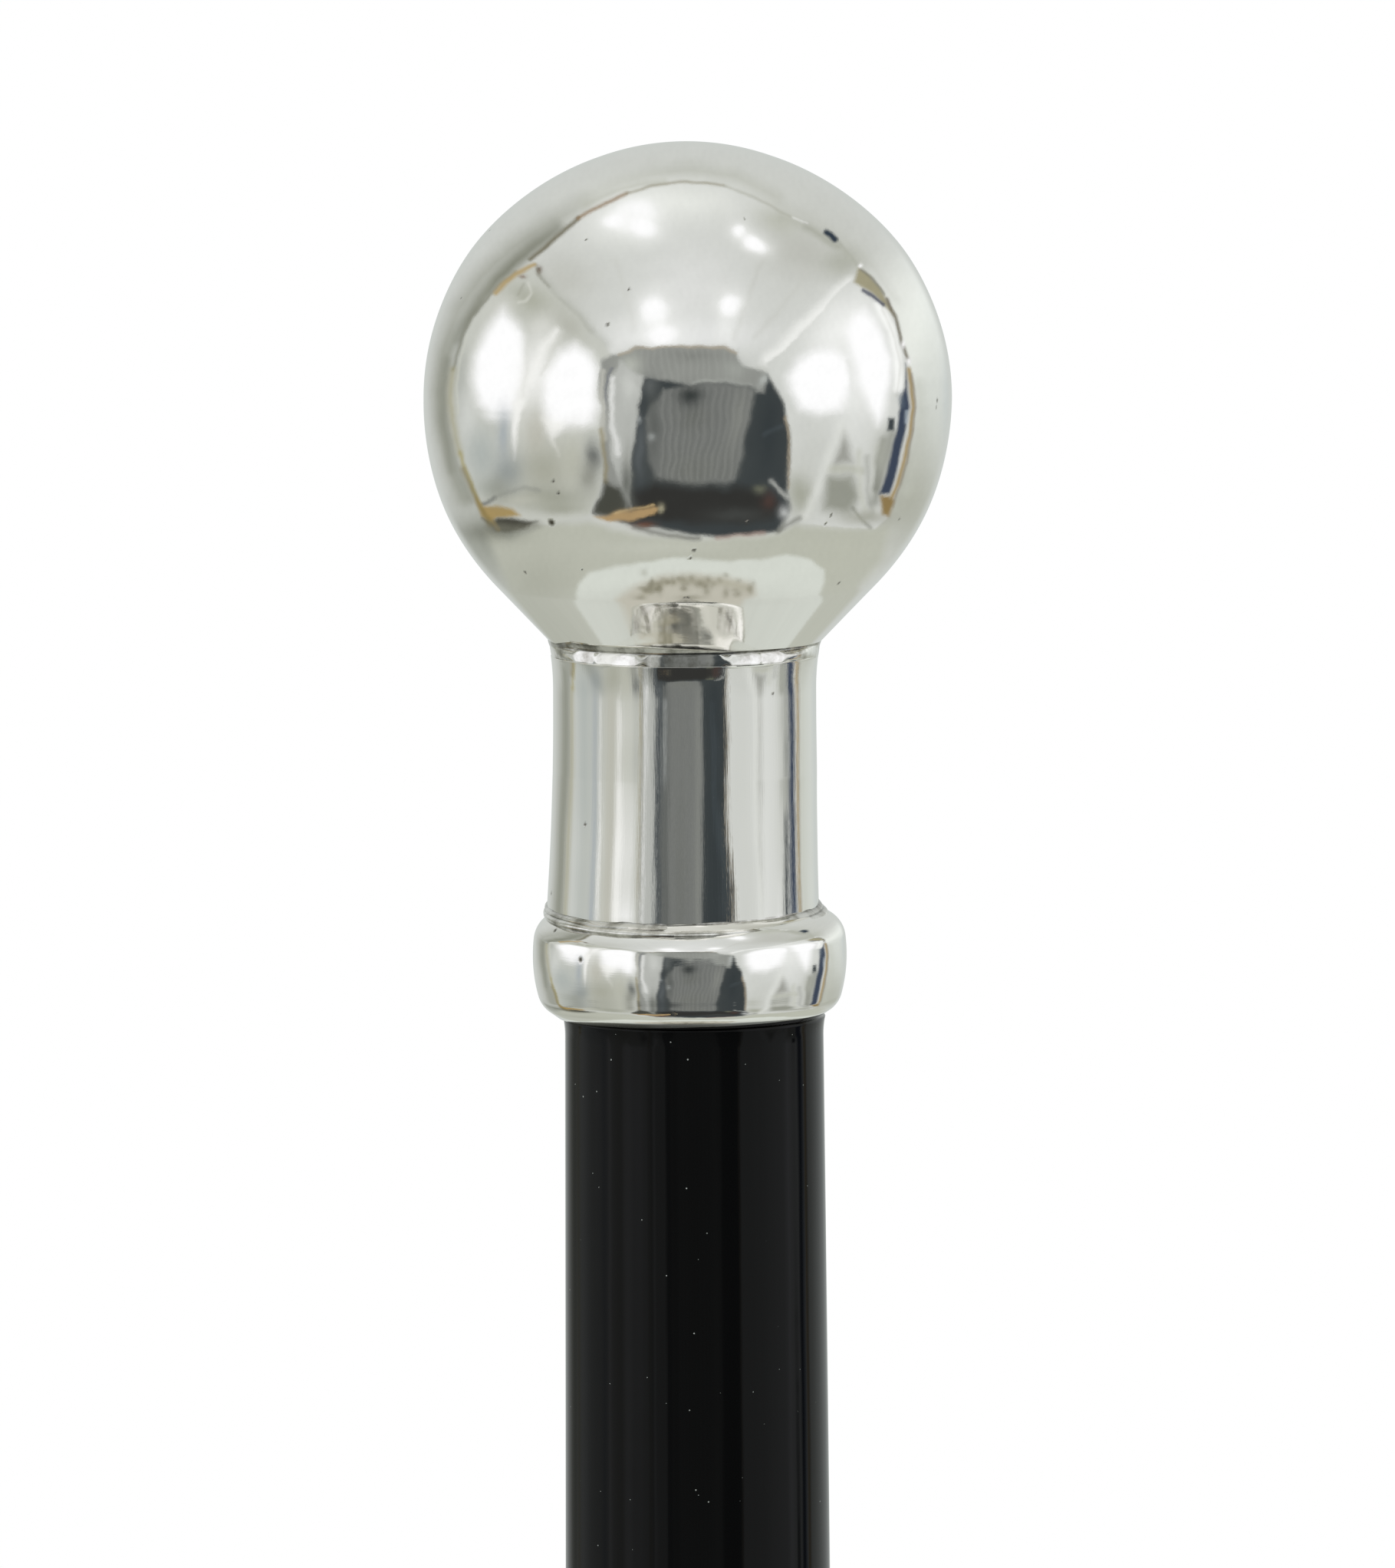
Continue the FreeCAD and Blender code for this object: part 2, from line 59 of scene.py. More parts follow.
def sight(x, y):
    """The direction in which the camera sees a pixel of the picture."""
    focus = camera.data.lens / camera.data.sensor_width * picture_tall
    aim = Vector(((x - picture_wide / 2) / focus, (picture_tall / 2 - y) / focus, -1))
    return (camera.matrix_world.to_3x3() @ aim).normalized()


def seen_on(piece, x, y):
    """The place and the outward normal that a pixel of the picture shows on a piece."""
    met, place, normal, _ = piece.ray_cast(camera.location, sight(x, y))
    return (place, normal) if met else (None, None)


# Rubber tip. A ferrule of black rubber, moulded in one piece and pushed onto the foot.
# Its mouth is beaded, its base flares out to a tread with three ring grooves, and
# moulding leaves it matt, with dust held in the grain.


def turned(name, outline, sides=256, aside=((0, 0),), tilt=(0, 0)):
    """A solid turned about the stick's axis, from radius and height points in millimetres.
    The outline runs anticlockwise. aside has heights, with how far its middle is off along
    X there, and tilt how many degrees it rises along X and along Y."""
    heights, shifts = zip(*aside)
    rises = [math.tan(math.radians(angle)) for angle in tilt]
    places, rings, faces = [], [], []
    for radius, height in outline:
        middle = float(np.interp(height, heights, shifts))
        steps = sides if radius > 0 else 1
        ring = []
        for step in range(steps):
            angle = 2 * math.pi * step / steps
            ring.append(len(places))
            across, along = radius * math.cos(angle), radius * math.sin(angle)
            up = height + across * rises[0] + along * rises[1]
            places.append(((middle + across) / 1000, along / 1000, up / 1000))
        rings.append(ring * (sides // steps))
    pairs = list(zip(rings, rings[1:]))
    if outline[0][0] > 0:
        pairs.append((rings[-1], rings[0]))
    for lower, upper in pairs:
        if len(set(lower)) == len(set(upper)) == 1:
            continue
        for step in range(sides):
            after = (step + 1) % sides
            corners = (lower[step], lower[after], upper[after], upper[step])
            faces.append(tuple(dict.fromkeys(corners)))
    mesh = bpy.data.meshes.new(name)
    mesh.from_pydata(places, [], faces)
    mesh.shade_smooth()
    mesh.set_sharp_from_angle(angle=math.radians(32))
    piece = bpy.data.objects.new(name, mesh)
    bpy.context.scene.collection.objects.link(piece)
    return piece


def arc(across, up, radius, first, last, steps):
    """Points on an arc about a centre, from the first to the last angle in degrees."""
    turns = [math.radians(first + (last - first) * step / steps) for step in range(steps + 1)]
    return [(across + radius * math.cos(turn), up + radius * math.sin(turn)) for turn in turns]


def colour(code):
    """The linear colour of an sRGB hex code."""
    parts = [int(code[place:place + 2], 16) / 255 for place in (0, 2, 4)]
    linear = [
        part / 12.92 if part <= 0.04045 else ((part + 0.055) / 1.055) ** 2.4
        for part in parts
    ]
    return (*linear, 1)


def add(tree, kind, inputs=None, **settings):
    """Adds a node with its settings, and its inputs as values or links."""
    node = tree.nodes.new("ShaderNode" + kind)
    for setting, value in settings.items():
        setattr(node, setting, value)
    for socket, value in (inputs or {}).items():
        if isinstance(value, bpy.types.NodeSocket):
            tree.links.new(value, node.inputs[socket])
        else:
            node.inputs[socket].default_value = value
    return node


def finish_named(name):
    """A new material with its node tree and its shader."""
    finish = bpy.data.materials.new(name)
    finish.use_nodes = True
    return finish, finish.node_tree, finish.node_tree.nodes["Principled BSDF"]


first_groove, groove_spacing, groove_width, groove_depth = 3.0, 3.42, 1.3, 1.2
tread_radius, tread_edge, tread_height = 14.46, 1.2, 5.0
flare_bend, flare_top = 13.05, 14.0
bead_radius, bead_middle, mouth_radius, tip_height = 0.8, 10.16, 0.7, 38.0
socket_radius, socket_floor = 8.06, 7.5
tip_outline = [(0, 0)]
for groove in range(3):
    inner = first_groove + groove_spacing * groove
    outer = inner + groove_width
    tip_outline += [(inner, 0), (inner + 0.1, groove_depth), (outer - 0.1, groove_depth), (outer, 0)]
tip_outline += arc(tread_radius - tread_edge, tread_edge, tread_edge, -90, 0, 8)
tip_outline += [(tread_radius, tread_height), (14.1, 5.6)]
tip_outline += arc(23.91, flare_top, flare_bend, 217, 180, 16)
tip_outline += [(10.2, 34.6), (10.5, 34.8)]
tip_outline += arc(bead_middle, 35.6, bead_radius, -40, 0, 4)
tip_outline += arc(bead_middle, tip_height - bead_radius, bead_radius, 0, 90, 8)
tip_outline += arc(socket_radius + mouth_radius, tip_height - mouth_radius, mouth_radius, 90, 180, 6)
tip_outline += [(socket_radius, socket_floor), (0, socket_floor)]
tip = turned("moulded_rubber_tip", tip_outline, 128)

# The mould's grain is 0.4 mm wide, and the dust in it lies in patches about 5.5 mm wide.
rubber_grain, dust_patch = 0.4, 5.5556
rubber, tree, shader = finish_named("moulded black rubber")
where = add(tree, "TexCoord").outputs["Object"]
grain = add(tree, "TexNoise", {"Vector": where, "Scale": 1000 / rubber_grain, "Detail": 3})
dust = add(tree, "TexNoise", {
    "Vector": where, "Scale": 1000 / dust_patch, "Detail": 6, "Roughness": 0.7,
})
dusty = add(tree, "ValToRGB", {"Fac": dust.outputs["Fac"]})
dusty.color_ramp.elements[0].position = 0.45
dusty.color_ramp.elements[0].color = colour("1B1B1A")
dusty.color_ramp.elements[1].position = 0.75
dusty.color_ramp.elements[1].color = colour("333230")
bump = add(tree, "Bump", {"Height": grain.outputs["Fac"], "Strength": 0.25, "Distance": 0.0002})
tree.links.new(dusty.outputs["Color"], shader.inputs["Base Color"])
tree.links.new(bump.outputs["Normal"], shader.inputs["Normal"])
shader.inputs["Roughness"].default_value = 0.62
shader.inputs["IOR"].default_value = 1.52
tip.data.materials.append(rubber)
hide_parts("rubber_tip")
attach(tip, "tip")


# Steel disc. A punched and zinc-plated washer blank that lies on the socket's floor.
# The plating is bright grey with the faint marks of the barrel it was plated in, each
# about a millimetre wide.

barrel_mark = 1.1111
zinc, tree, shader = finish_named("zinc plated steel")
where = add(tree, "TexCoord").outputs["Object"]
marks = add(tree, "TexNoise", {"Vector": where, "Scale": 1000 / barrel_mark, "Detail": 4})
rough = add(tree, "MapRange", {"Value": marks.outputs["Fac"], "To Min": 0.22, "To Max": 0.42})
bump = add(tree, "Bump", {"Height": marks.outputs["Fac"], "Strength": 0.1, "Distance": 0.0001})
tree.links.new(rough.outputs["Result"], shader.inputs["Roughness"])
tree.links.new(bump.outputs["Normal"], shader.inputs["Normal"])
shader.inputs["Base Color"].default_value = colour("C9CBCE")
shader.inputs["Metallic"].default_value = 1


def refinish(node, finish):
    """Gives a CAD node a better material."""
    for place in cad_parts[node].material_slots:
        place.material = finish


refinish("tip_disc", zinc)


# Shaft. Turned beech under many flatted coats of black lacquer, with a fuller belly
# 75 mm under the collar and a small cove that flares out to the collar's lip. The
# lacquer is glassy, with wood pores just telegraphing through and dust on it.


def swayed(piece, turn, *rises, bend=None):
    """Turns a polished face by a few degrees without moving it, as the cloth leaves it:
    turn is how far to the right, by degrees round from the front, and each rise how far
    up, by height in millimetres, with its share by degrees round from the front. bend is
    a further turn, given like a rise. The turn fades out towards the sides."""
    handle_aside = -0.5
    count = len(piece.data.vertices)
    places, normals = np.empty(count * 3), np.empty(count * 3)
    piece.data.vertices.foreach_get("co", places)
    piece.data.vertex_normals.foreach_get("vector", normals)
    places, normals = places.reshape(-1, 3) * 1000, normals.reshape(-1, 3)
    round_from_front = np.degrees(np.arctan2(places[:, 0] - handle_aside, -places[:, 1]))
    share = np.clip(1.5 * np.cos(np.radians(round_from_front)), 0, 1)
    heading = np.arctan2(normals[:, 0], -normals[:, 1])
    heading += np.radians(np.interp(round_from_front, *zip(*turn))) * share
    if bend:
        bent = np.interp(places[:, 2], *zip(*bend[0]))
        heading += np.radians(bent * np.interp(round_from_front, *zip(*bend[1])))
    rise = np.arcsin(np.clip(normals[:, 2], -1, 1))
    for by_height, by_turn in rises:
        shared = np.interp(round_from_front, *zip(*by_turn))
        rise += np.radians(np.interp(places[:, 2], *zip(*by_height))) * shared
    piece.data.normals_split_custom_set_from_vertices(np.stack([
        np.sin(heading) * np.cos(rise), -np.cos(heading) * np.cos(rise), np.sin(rise),
    ], axis=1).tolist())


foot_height, foot_radius, foot_chamfer, tip_top = 9.0, 8.0, 0.8, 38.0
belly_height, belly_radius, slimming = 793.466, 9.47, 0.4
cove_height, cove_radius, cove_flare = 867.366, belly_radius - slimming, 0.13
shoulder, tenon_radius, tenon_top, tenon_chamfer = 868.666, 7.75, 893.194, 0.6
pilot_radius, pilot_floor, pilot_point = 4.05, 851.144, 848.711
shaft_outline = [
    (0, foot_height), (foot_radius - foot_chamfer, foot_height), (foot_radius, foot_height + foot_chamfer),
    (foot_radius, tip_top), (belly_radius, belly_height),
]
for step in range(1, 25):
    share = step / 24
    height = belly_height + (cove_height - belly_height) * share
    shaft_outline.append((belly_radius - slimming * share ** 1.2, height))
for step in range(1, 9):
    share = step / 8
    height = cove_height + (shoulder - cove_height) * share
    shaft_outline.append((cove_radius + cove_flare * share ** 2, height))
shaft_outline += [
    (tenon_radius, shoulder), (tenon_radius, tenon_top - tenon_chamfer),
    (tenon_radius - tenon_chamfer, tenon_top), (pilot_radius, tenon_top), (pilot_radius, pilot_floor),
    (0, pilot_point),
]
shaft = turned("lacquered_shaft", shaft_outline, 360, [(0, 0), (840, 0.04), (868, 0.02)])
shaft_turn = [
    (-90, 0), (-60, 2), (-45, 0.5), (-35, 0.3), (-22, 1.8), (24, 1.8), (38, 0.6), (60, 0), (90, 0),
]
swayed(shaft, shaft_turn)

# Pores 0.6 mm wide and 17 mm long, orange peel 4 mm wide, and dust specks 1 mm apart.
# The pores and the dust are finer in life, and drawn this coarse to show.
pore_width, pore_length, peel_width, speck_spacing = 0.625, 16.6667, 3.8462, 1.1111
lacquer, tree, shader = finish_named("black lacquered beech")
where = add(tree, "TexCoord").outputs["Object"]
along = add(tree, "Mapping", {
    "Vector": where, "Scale": (1000 / pore_width, 1000 / pore_width, 1000 / pore_length),
})
pores = add(tree, "TexNoise", {"Vector": along.outputs["Vector"], "Scale": 1, "Detail": 3})
orange_peel = add(tree, "TexNoise", {"Vector": where, "Scale": 1000 / peel_width, "Detail": 1})
bump = add(tree, "Bump", {"Height": pores.outputs["Fac"], "Strength": 0.03, "Distance": 0.0001})
bump = add(tree, "Bump", {
    "Height": orange_peel.outputs["Fac"], "Strength": 0.05, "Distance": 0.0002,
    "Normal": bump.outputs["Normal"],
})
specks = add(tree, "TexVoronoi", {"Vector": where, "Scale": 1000 / speck_spacing, "Randomness": 1})
sizes = add(tree, "Math", {0: specks.outputs["Color"], 1: 0.065}, operation="MULTIPLY")
speck = add(tree, "Math", {
    0: specks.outputs["Distance"], 1: sizes.outputs["Value"],
}, operation="LESS_THAN")
dusted = add(tree, "Mix", {
    "Factor": speck.outputs["Value"], "A": colour("090909"), "B": colour("8E928E"),
}, data_type="RGBA")
tree.links.new(dusted.outputs["Result"], shader.inputs["Base Color"])
tree.links.new(bump.outputs["Normal"], shader.inputs["Normal"])
shader.inputs["Roughness"].default_value = 0.07
shader.inputs["IOR"].default_value = 1.5
shader.inputs["Specular IOR Level"].default_value = 0.14
shaft.data.materials.append(lacquer)
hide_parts("shaft")
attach(shaft, "stick")


# Collar. A brass ring, turned to a barrel between two slopes, silver plated and
# buffed by hand, so its surface is mirror bright but not quite true, with a few pits.


def buffed(piece, depth, spacing, seed):
    """Moves the surface in and out in soft waves, as a buffing wheel held by hand leaves it.
    depth and spacing are in millimetres."""
    passes = 30
    chance = np.random.RandomState(seed)
    count = len(piece.data.vertices)
    places, normals = np.empty(count * 3), np.empty(count * 3)
    piece.data.vertices.foreach_get("co", places)
    piece.data.vertex_normals.foreach_get("vector", normals)
    places, normals = places.reshape(-1, 3), normals.reshape(-1, 3)
    waves = np.zeros(count)
    for _ in range(passes):
        heading = chance.normal(size=3)
        heading *= 2000 * math.pi / (np.linalg.norm(heading) * spacing * chance.uniform(0.6, 2.0))
        waves += np.sin(places @ heading + chance.uniform(0, 2 * math.pi))
    places += normals * (waves * depth / 1000 / math.sqrt(passes / 2))[:, None]
    piece.data.vertices.foreach_set("co", places.ravel())
    piece.data.update()


def pitted(piece, pits, loose, seed):
    """Marks casting pits on a piece, from the picture's pixels and radii in millimetres,
    and loose ones on the sides that the picture doesn't show."""
    chance = np.random.RandomState(seed)
    places = np.empty(len(piece.data.vertices) * 3)
    piece.data.vertices.foreach_get("co", places)
    places = places.reshape(-1, 3)
    depth = np.zeros(len(places))
    found = [(seen_on(piece, x, y)[0], size) for x, y, size in pits]
    unseen = places[places[:, 1] > 0.004]
    for _ in range(loose):
        found.append((Vector(unseen[chance.randint(len(unseen))]), chance.uniform(0.08, 0.2)))
    for place, size in found:
        if place:
            near = np.linalg.norm(places - np.array(place), axis=1) * 1000 / size
            depth = np.maximum(depth, np.clip(1.6 - near * 1.2, 0, 1))
    marks = piece.data.attributes.new("pits", "FLOAT", "POINT")
    marks.data.foreach_set("value", depth.astype(np.float32))


def silver_finish(name, hairlines, depth):
    """Silver plate: the whitest of the metals, with hairlines from the polishing cloth and
    the haze of hands in smudges 7 mm wide. hairlines is their size along X, Y and Z in
    millimetres, coarser than in life so that they show, and depth how far they are cut."""
    smudge = 7.1429
    finish, tree, shader = finish_named(name)
    where = add(tree, "TexCoord").outputs["Object"]
    stretched = add(tree, "Mapping", {"Vector": where, "Scale": [1000 / size for size in hairlines]})
    lines = add(tree, "TexNoise", {
        "Vector": stretched.outputs["Vector"], "Scale": 1, "Detail": 4, "Roughness": 0.7,
    })
    haze = add(tree, "TexNoise", {"Vector": where, "Scale": 1000 / smudge, "Detail": 4})
    pits = add(tree, "Attribute", attribute_name="pits").outputs["Fac"]
    smudged = add(tree, "MapRange", {
        "Value": haze.outputs["Fac"], "From Min": 0.35, "From Max": 0.75, "To Min": 0.02, "To Max": 0.075,
    })
    rough = add(tree, "Mix", {"Factor": pits, "A": smudged.outputs["Result"], "B": 0.5}, data_type="FLOAT")
    tint = add(tree, "Mix", {
        "Factor": pits, "A": colour("F8F6F0"), "B": colour("5E5A4E"),
    }, data_type="RGBA")
    bump = add(tree, "Bump", {"Height": lines.outputs["Fac"], "Strength": depth, "Distance": 0.00005})
    bump = add(tree, "Bump", {
        "Height": pits, "Strength": 0.15, "Distance": 0.0001, "Normal": bump.outputs["Normal"],
    }, invert=True)
    tree.links.new(tint.outputs["Result"], shader.inputs["Base Color"])
    tree.links.new(rough.outputs["Result"], shader.inputs["Roughness"])
    tree.links.new(bump.outputs["Normal"], shader.inputs["Normal"])
    shader.inputs["Metallic"].default_value = 1
    return finish


collar_bore, collar_foot, collar_foot_radius = 7.8, 868.716, 9.26
barrel_middle, barrel_bend = 873.06, 11.0
lip_at, lip_bend, lip_ends = (8.8, 870.705), 1.9, -15
slope_at, slope_bend, slope_starts = (8.853, 874.067), 2.1, 6.5
collar_top, collar_top_radius, seat_radius, seat_floor = 876.2, 9.3, 8.73, 874.014
collar_outline = [(collar_bore, collar_foot), (collar_foot_radius, collar_foot)]
collar_outline += arc(*lip_at, lip_bend, -50, lip_ends, 14)
collar_outline += arc(0.01, barrel_middle, barrel_bend, lip_ends, slope_starts, 30)[1:]
collar_outline += arc(*slope_at, slope_bend, slope_starts, 72, 30)[1:]
collar_outline += [
    (collar_top_radius, collar_top), (seat_radius, collar_top), (seat_radius, seat_floor),
    (collar_bore, seat_floor),
]
collar = turned("plated_collar", collar_outline, 540, [(870, -0.27)], (0.2, -0.5))
buffed(collar, 0.008, 5.0, 11)
collar_turn = [
    (-90, 0), (-65, 4), (-45, 1), (0, 0.2), (14, 1.5), (24, 1.7), (36, 0), (45, -1), (58, -3.3),
    (75, -3), (90, 0),
]
slopes_rise = [
    (868.7, 6), (869.4, 7), (869.8, 6), (870.3, 3), (870.8, 0), (874, 0), (874.35, 5), (874.55, 14),
    (874.93, 17), (875.4, 10), (875.8, 4),
]
barrel_rise = [
    (868.7, 2), (869.4, 3), (869.8, 3.5), (870.2, 3), (870.6, 1), (871.5, 3), (873.43, 7), (873.92, 6),
    (874.35, 4), (874.6, 0),
]
swayed(
    collar, collar_turn,
    (slopes_rise, [(-85, 0), (-55, 1), (55, 1), (85, 0)]),
    (barrel_rise, [(-25, 0), (-12, 1), (18, 1), (34, 0.4), (60, 0)]),
)
collar_pits = [(724, 1213, 0.16), (757, 1251, 0.2), (879, 1322, 0.12)]
pitted(collar, collar_pits, 6, 21)
collar_silver = silver_finish("silver plate, buffed round", (3.3333, 3.3333, 0.19231), 0.05)
collar.data.materials.append(collar_silver)
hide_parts("collar_bead")
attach(collar, "stick")


# Lower solder seam. Silver solder that ran into the crease between neck and collar and
# was wiped and half polished, so it is bright but lumpy, with painted shade in its grooves.


def crease_shade(piece, amounts, shares=((0, 1),)):
    """Marks painted shade in a seam's grooves, by how much of it each point of the outline
    has, and with what share of that by degrees round from the front."""
    # The attribute holds painted shade for the seam's grooves and creases
    sides = len(piece.data.vertices) // len(amounts)
    round_from_front = (np.arange(sides) * 360 / sides + 270) % 360 - 180
    amount = np.outer(amounts, np.interp(round_from_front, *zip(*shares)))
    marks = piece.data.attributes.new("crease_shade", "FLOAT", "POINT")
    marks.data.foreach_set("value", np.clip(amount, 0, 1).astype(np.float32).ravel())


lower_seam_outline = [
    (9.0, 875.5), (9.84, 875.8), (9.93, 875.95), (9.98, 876.05), (9.97, 876.15), (9.9, 876.25),
    (9.81, 876.31), (9.75, 876.34), (9.74, 876.38), (9.75, 876.45), (9.72, 876.53), (9.65, 876.6),
    (9.58, 876.64), (9.54, 876.69), (9.52, 876.78), (9.45, 876.82), (9.0, 876.82),
]
# How much painted shade each point of the seam's outline gets, and its share round the seam
lower_seam_shade = [1, 1, 0.9, 0.2, 0, 0, 0.1, 0.7, 0.7, 0.1, 0.25, 0.4, 0.7, 1, 1, 1, 1]
lower_seam_shade_shares = [
    (-25, 0.8), (-15, 1.2), (-5, 1.7), (17, 1.7), (22, 0.8), (28, 0.2), (45, 0.2), (58, 1),
]
seam_sides, run_down, run_sunk = 900, 0.6, 0.03
lower_seam_aside = [(876.1, -0.55), (876.5, -0.7)]
lower_seam = turned("lower_solder_seam", lower_seam_outline, seam_sides, lower_seam_aside, (0.2, 3.2))
for place, corner in enumerate(lower_seam.data.vertices):
    spread = min(1, max(0, (876.6 - lower_seam_outline[place // seam_sides][1]) / 0.4))
    corner.co.y -= run_down / 1000 * spread
    corner.co.z -= run_sunk / 1000 * spread
buffed(lower_seam, 0.02, 3.0, 31)
# Painted shade in the seam's grooves and edges, heaviest at the front
crease_shade(lower_seam, lower_seam_shade, lower_seam_shade_shares)

# Lumps of solder 2.4 mm apart, with stains from the flux 2 mm wide.
lump_spacing, stain_width = 2.381, 2.0
solder, tree, shader = finish_named("silver solder, wiped")
where = add(tree, "TexCoord").outputs["Object"]
lumps = add(tree, "TexNoise", {
    "Vector": where, "Scale": 1000 / lump_spacing, "Detail": 3, "Roughness": 0.6,
})
stain = add(tree, "TexNoise", {
    "Vector": where, "Scale": 1000 / stain_width, "Detail": 4, "Roughness": 0.6,
})
stained = add(tree, "ValToRGB", {"Fac": stain.outputs["Fac"]})
stained.color_ramp.elements[0].position = 0.34
stained.color_ramp.elements[0].color = colour("A9A69B")
stained.color_ramp.elements[1].position = 0.56
stained.color_ramp.elements[1].color = colour("F6F4EE")
patches = add(tree, "MapRange", {
    "Value": stain.outputs["Fac"], "From Min": 0.38, "From Max": 0.62, "To Min": 1, "To Max": 0.45,
})
# Painted shade for the seam's grooves: dark 48463D, laid on in patches over the flux stains
crease_shading = add(tree, "Attribute", attribute_name="crease_shade").outputs["Fac"]
patchy_shade = add(tree, "Math", {0: crease_shading, 1: patches.outputs["Result"]}, operation="MULTIPLY")
stained_and_shaded = add(tree, "Mix", {
    "Factor": patchy_shade.outputs["Value"], "A": stained.outputs["Color"], "B": colour("48463D"),
}, data_type="RGBA")
bump = add(tree, "Bump", {"Height": lumps.outputs["Fac"], "Strength": 0.12, "Distance": 0.0002})
tree.links.new(stained_and_shaded.outputs["Result"], shader.inputs["Base Color"])
tree.links.new(bump.outputs["Normal"], shader.inputs["Normal"])
shader.inputs["Roughness"].default_value = 0.12
shader.inputs["Metallic"].default_value = 1
lower_seam.data.materials.append(solder)
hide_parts("lower_solder_ring")
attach(lower_seam, "stick")


# Neck. A brass tube turned to an hourglass, plated and polished with a cloth round and
# along it. It was soldered on a hair to one side of the shaft's line.


waist_height, waist_radius, upper_flare, lower_flare = 891.694, 9.22, 18.726, 370.35
neck_foot, neck_rim, neck_top, rim_edge = 876.1, 894.15, 894.2, 0.01
spigot_bore, spigot_radius, spigot_foot, spigot_top = 7.8, 8.7, 874.044, 897.694


def neck_radius(height):
    """The neck's radius: a short flare above its waist and a long one below."""
    from_waist = height - waist_height
    flare = upper_flare if from_waist > 0 else lower_flare
    return waist_radius + flare - math.sqrt(flare ** 2 - from_waist ** 2)


neck_outline = [(spigot_bore, spigot_foot), (spigot_radius, spigot_foot), (spigot_radius, neck_foot)]
for step in range(121):
    height = neck_foot + (neck_rim - rim_edge - neck_foot) * step / 120
    neck_outline.append((neck_radius(height), height))
neck_outline += [
    (neck_radius(neck_rim), neck_rim), (spigot_radius, neck_top), (spigot_radius, spigot_top),
    (spigot_bore, spigot_top),
]
neck = turned("plated_neck", neck_outline, 540, [(876.5, -0.72), (886, -0.53), (895.2, -0.5)])
buffed(neck, 0.007, 7, 12)
neck_turn = [
    (-90, 0), (-60, -3), (-35, -1), (-22, 0.6), (-16, 1.7), (-12, 1.2), (-9, 0.3), (9, 5.2), (18, 4),
    (50, 0.5), (60, -2), (90, 0),
]
neck_rise_shares = [
    (-85, 0), (-65, 1.8), (-38, 2), (-32, 1.3), (-27, 1), (-20, 1), (20, 1), (28, 1.2), (36, 1.6),
    (55, 1.4), (85, 0),
]
neck_rim_rise = [(892.65, 0), (893.15, -4), (893.3, -6.5), (893.6, -7.2), (894.15, -5.5)]
neck_foot_bend = [(876, 1), (878.5, 1), (880.5, 0.6), (882, 0.2), (886, 0), (889, 0.15), (893, 0)]
swayed(
    neck, neck_turn,
    ([(876, -2.7), (895, -3)], neck_rise_shares),
    (neck_rim_rise, [(-12.6, 0), (-11.4, 1), (17.4, 1), (18.6, 0)]),
    bend=(neck_foot_bend, [(8, 0), (16, -2), (20, -4.2), (27, -4.2), (34, -1.5), (45, 0)]),
)
neck_pits = [(763, 1075, 0.14), (719, 1164, 0.12), (1008, 905, 0.1)]
pitted(neck, neck_pits, 6, 22)
neck_silver = silver_finish("silver plate, buffed along", (0.238095, 0.238095, 11.1111), 0.09)
neck.data.materials.append(neck_silver)
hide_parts("neck_sleeve")
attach(neck, "stick")


# Upper solder seam. The neck's rounded rim and the solder that fills the crease under
# the knob, darkened in the crease by painted shade.

seam_bore, seam_aside, crease_radius = 8.75, -0.47, 9.02
upper_seam_outline = [(seam_bore, 893.95)] + arc(8.93, 894.5, 0.49, -60, 72, 16)
upper_seam_outline += [
    (9.07, 895.01), (9.1, 895.09), (9.2, 895.25), (9.35, 895.55), (9.5, 895.95), (seam_bore, 896.0),
]
full_heights, full_radii = [894, 894.4, 894.8, 895.2, 895.95], [9.33, 9.4, 9.46, 9.6, 9.6]
upper_seam = turned("upper_solder_seam", upper_seam_outline, seam_sides, [(895, seam_aside)])
for corner in upper_seam.data.vertices:
    across, along, height = (part * 1000 for part in corner.co)
    across -= seam_aside
    reach = math.hypot(across, along)
    round_from_front = math.degrees(math.atan2(abs(across), -along))
    sides_filled = min(1, max(0, (round_from_front - 58) / 20))
    full = float(np.interp(height, full_heights, full_radii))
    if reach > crease_radius:
        outward = (reach + (full - reach) * sides_filled) / reach
        corner.co.x = (across * outward + seam_aside) / 1000
        corner.co.y = along * outward / 1000
buffed(upper_seam, 0.012, 3.0, 32)
dull_rise = [
    (894.0, 50), (894.15, 40), (894.26, 25), (894.4, 8), (894.5, -2), (894.6, -14), (894.75, -33),
    (894.85, -48), (894.95, -60), (895.02, 0),
]
bright_rise = [
    (894.0, 30), (894.15, 30), (894.26, 34), (894.4, 24), (894.5, 12), (894.6, 2), (894.75, -18),
    (894.85, -30), (894.95, -45), (895.02, 0),
]
bright_shares = [
    (-58, 0), (-54, 1), (-43.5, 1), (-42, 0.4), (-40.5, 1), (-22, 1), (-18, 0), (18, 0), (21, 1),
    (33.5, 1), (34.5, 0.5), (35.5, 1), (46, 1), (50, 0),
]
swayed(
    upper_seam, [(-90, 0), (90, 0)],
    (dull_rise, [(-19, 0), (-15, 1), (15, 1), (19, 0)]),
    (bright_rise, bright_shares),
)
# Painted shade in the crease up under the knob
crease_shade(upper_seam, [0.5] + [0] * 15 + [0.1, 0.4, 0.6] + [0.65] * 5)
upper_seam.data.materials.append(solder)
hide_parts("upper_solder_ring")
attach(upper_seam, "stick")


# Knob. Cast brass, a little flat on its crown and drawn in below as a straight cone,
# silver plated and buffed by hand, with fine casting pits all over.

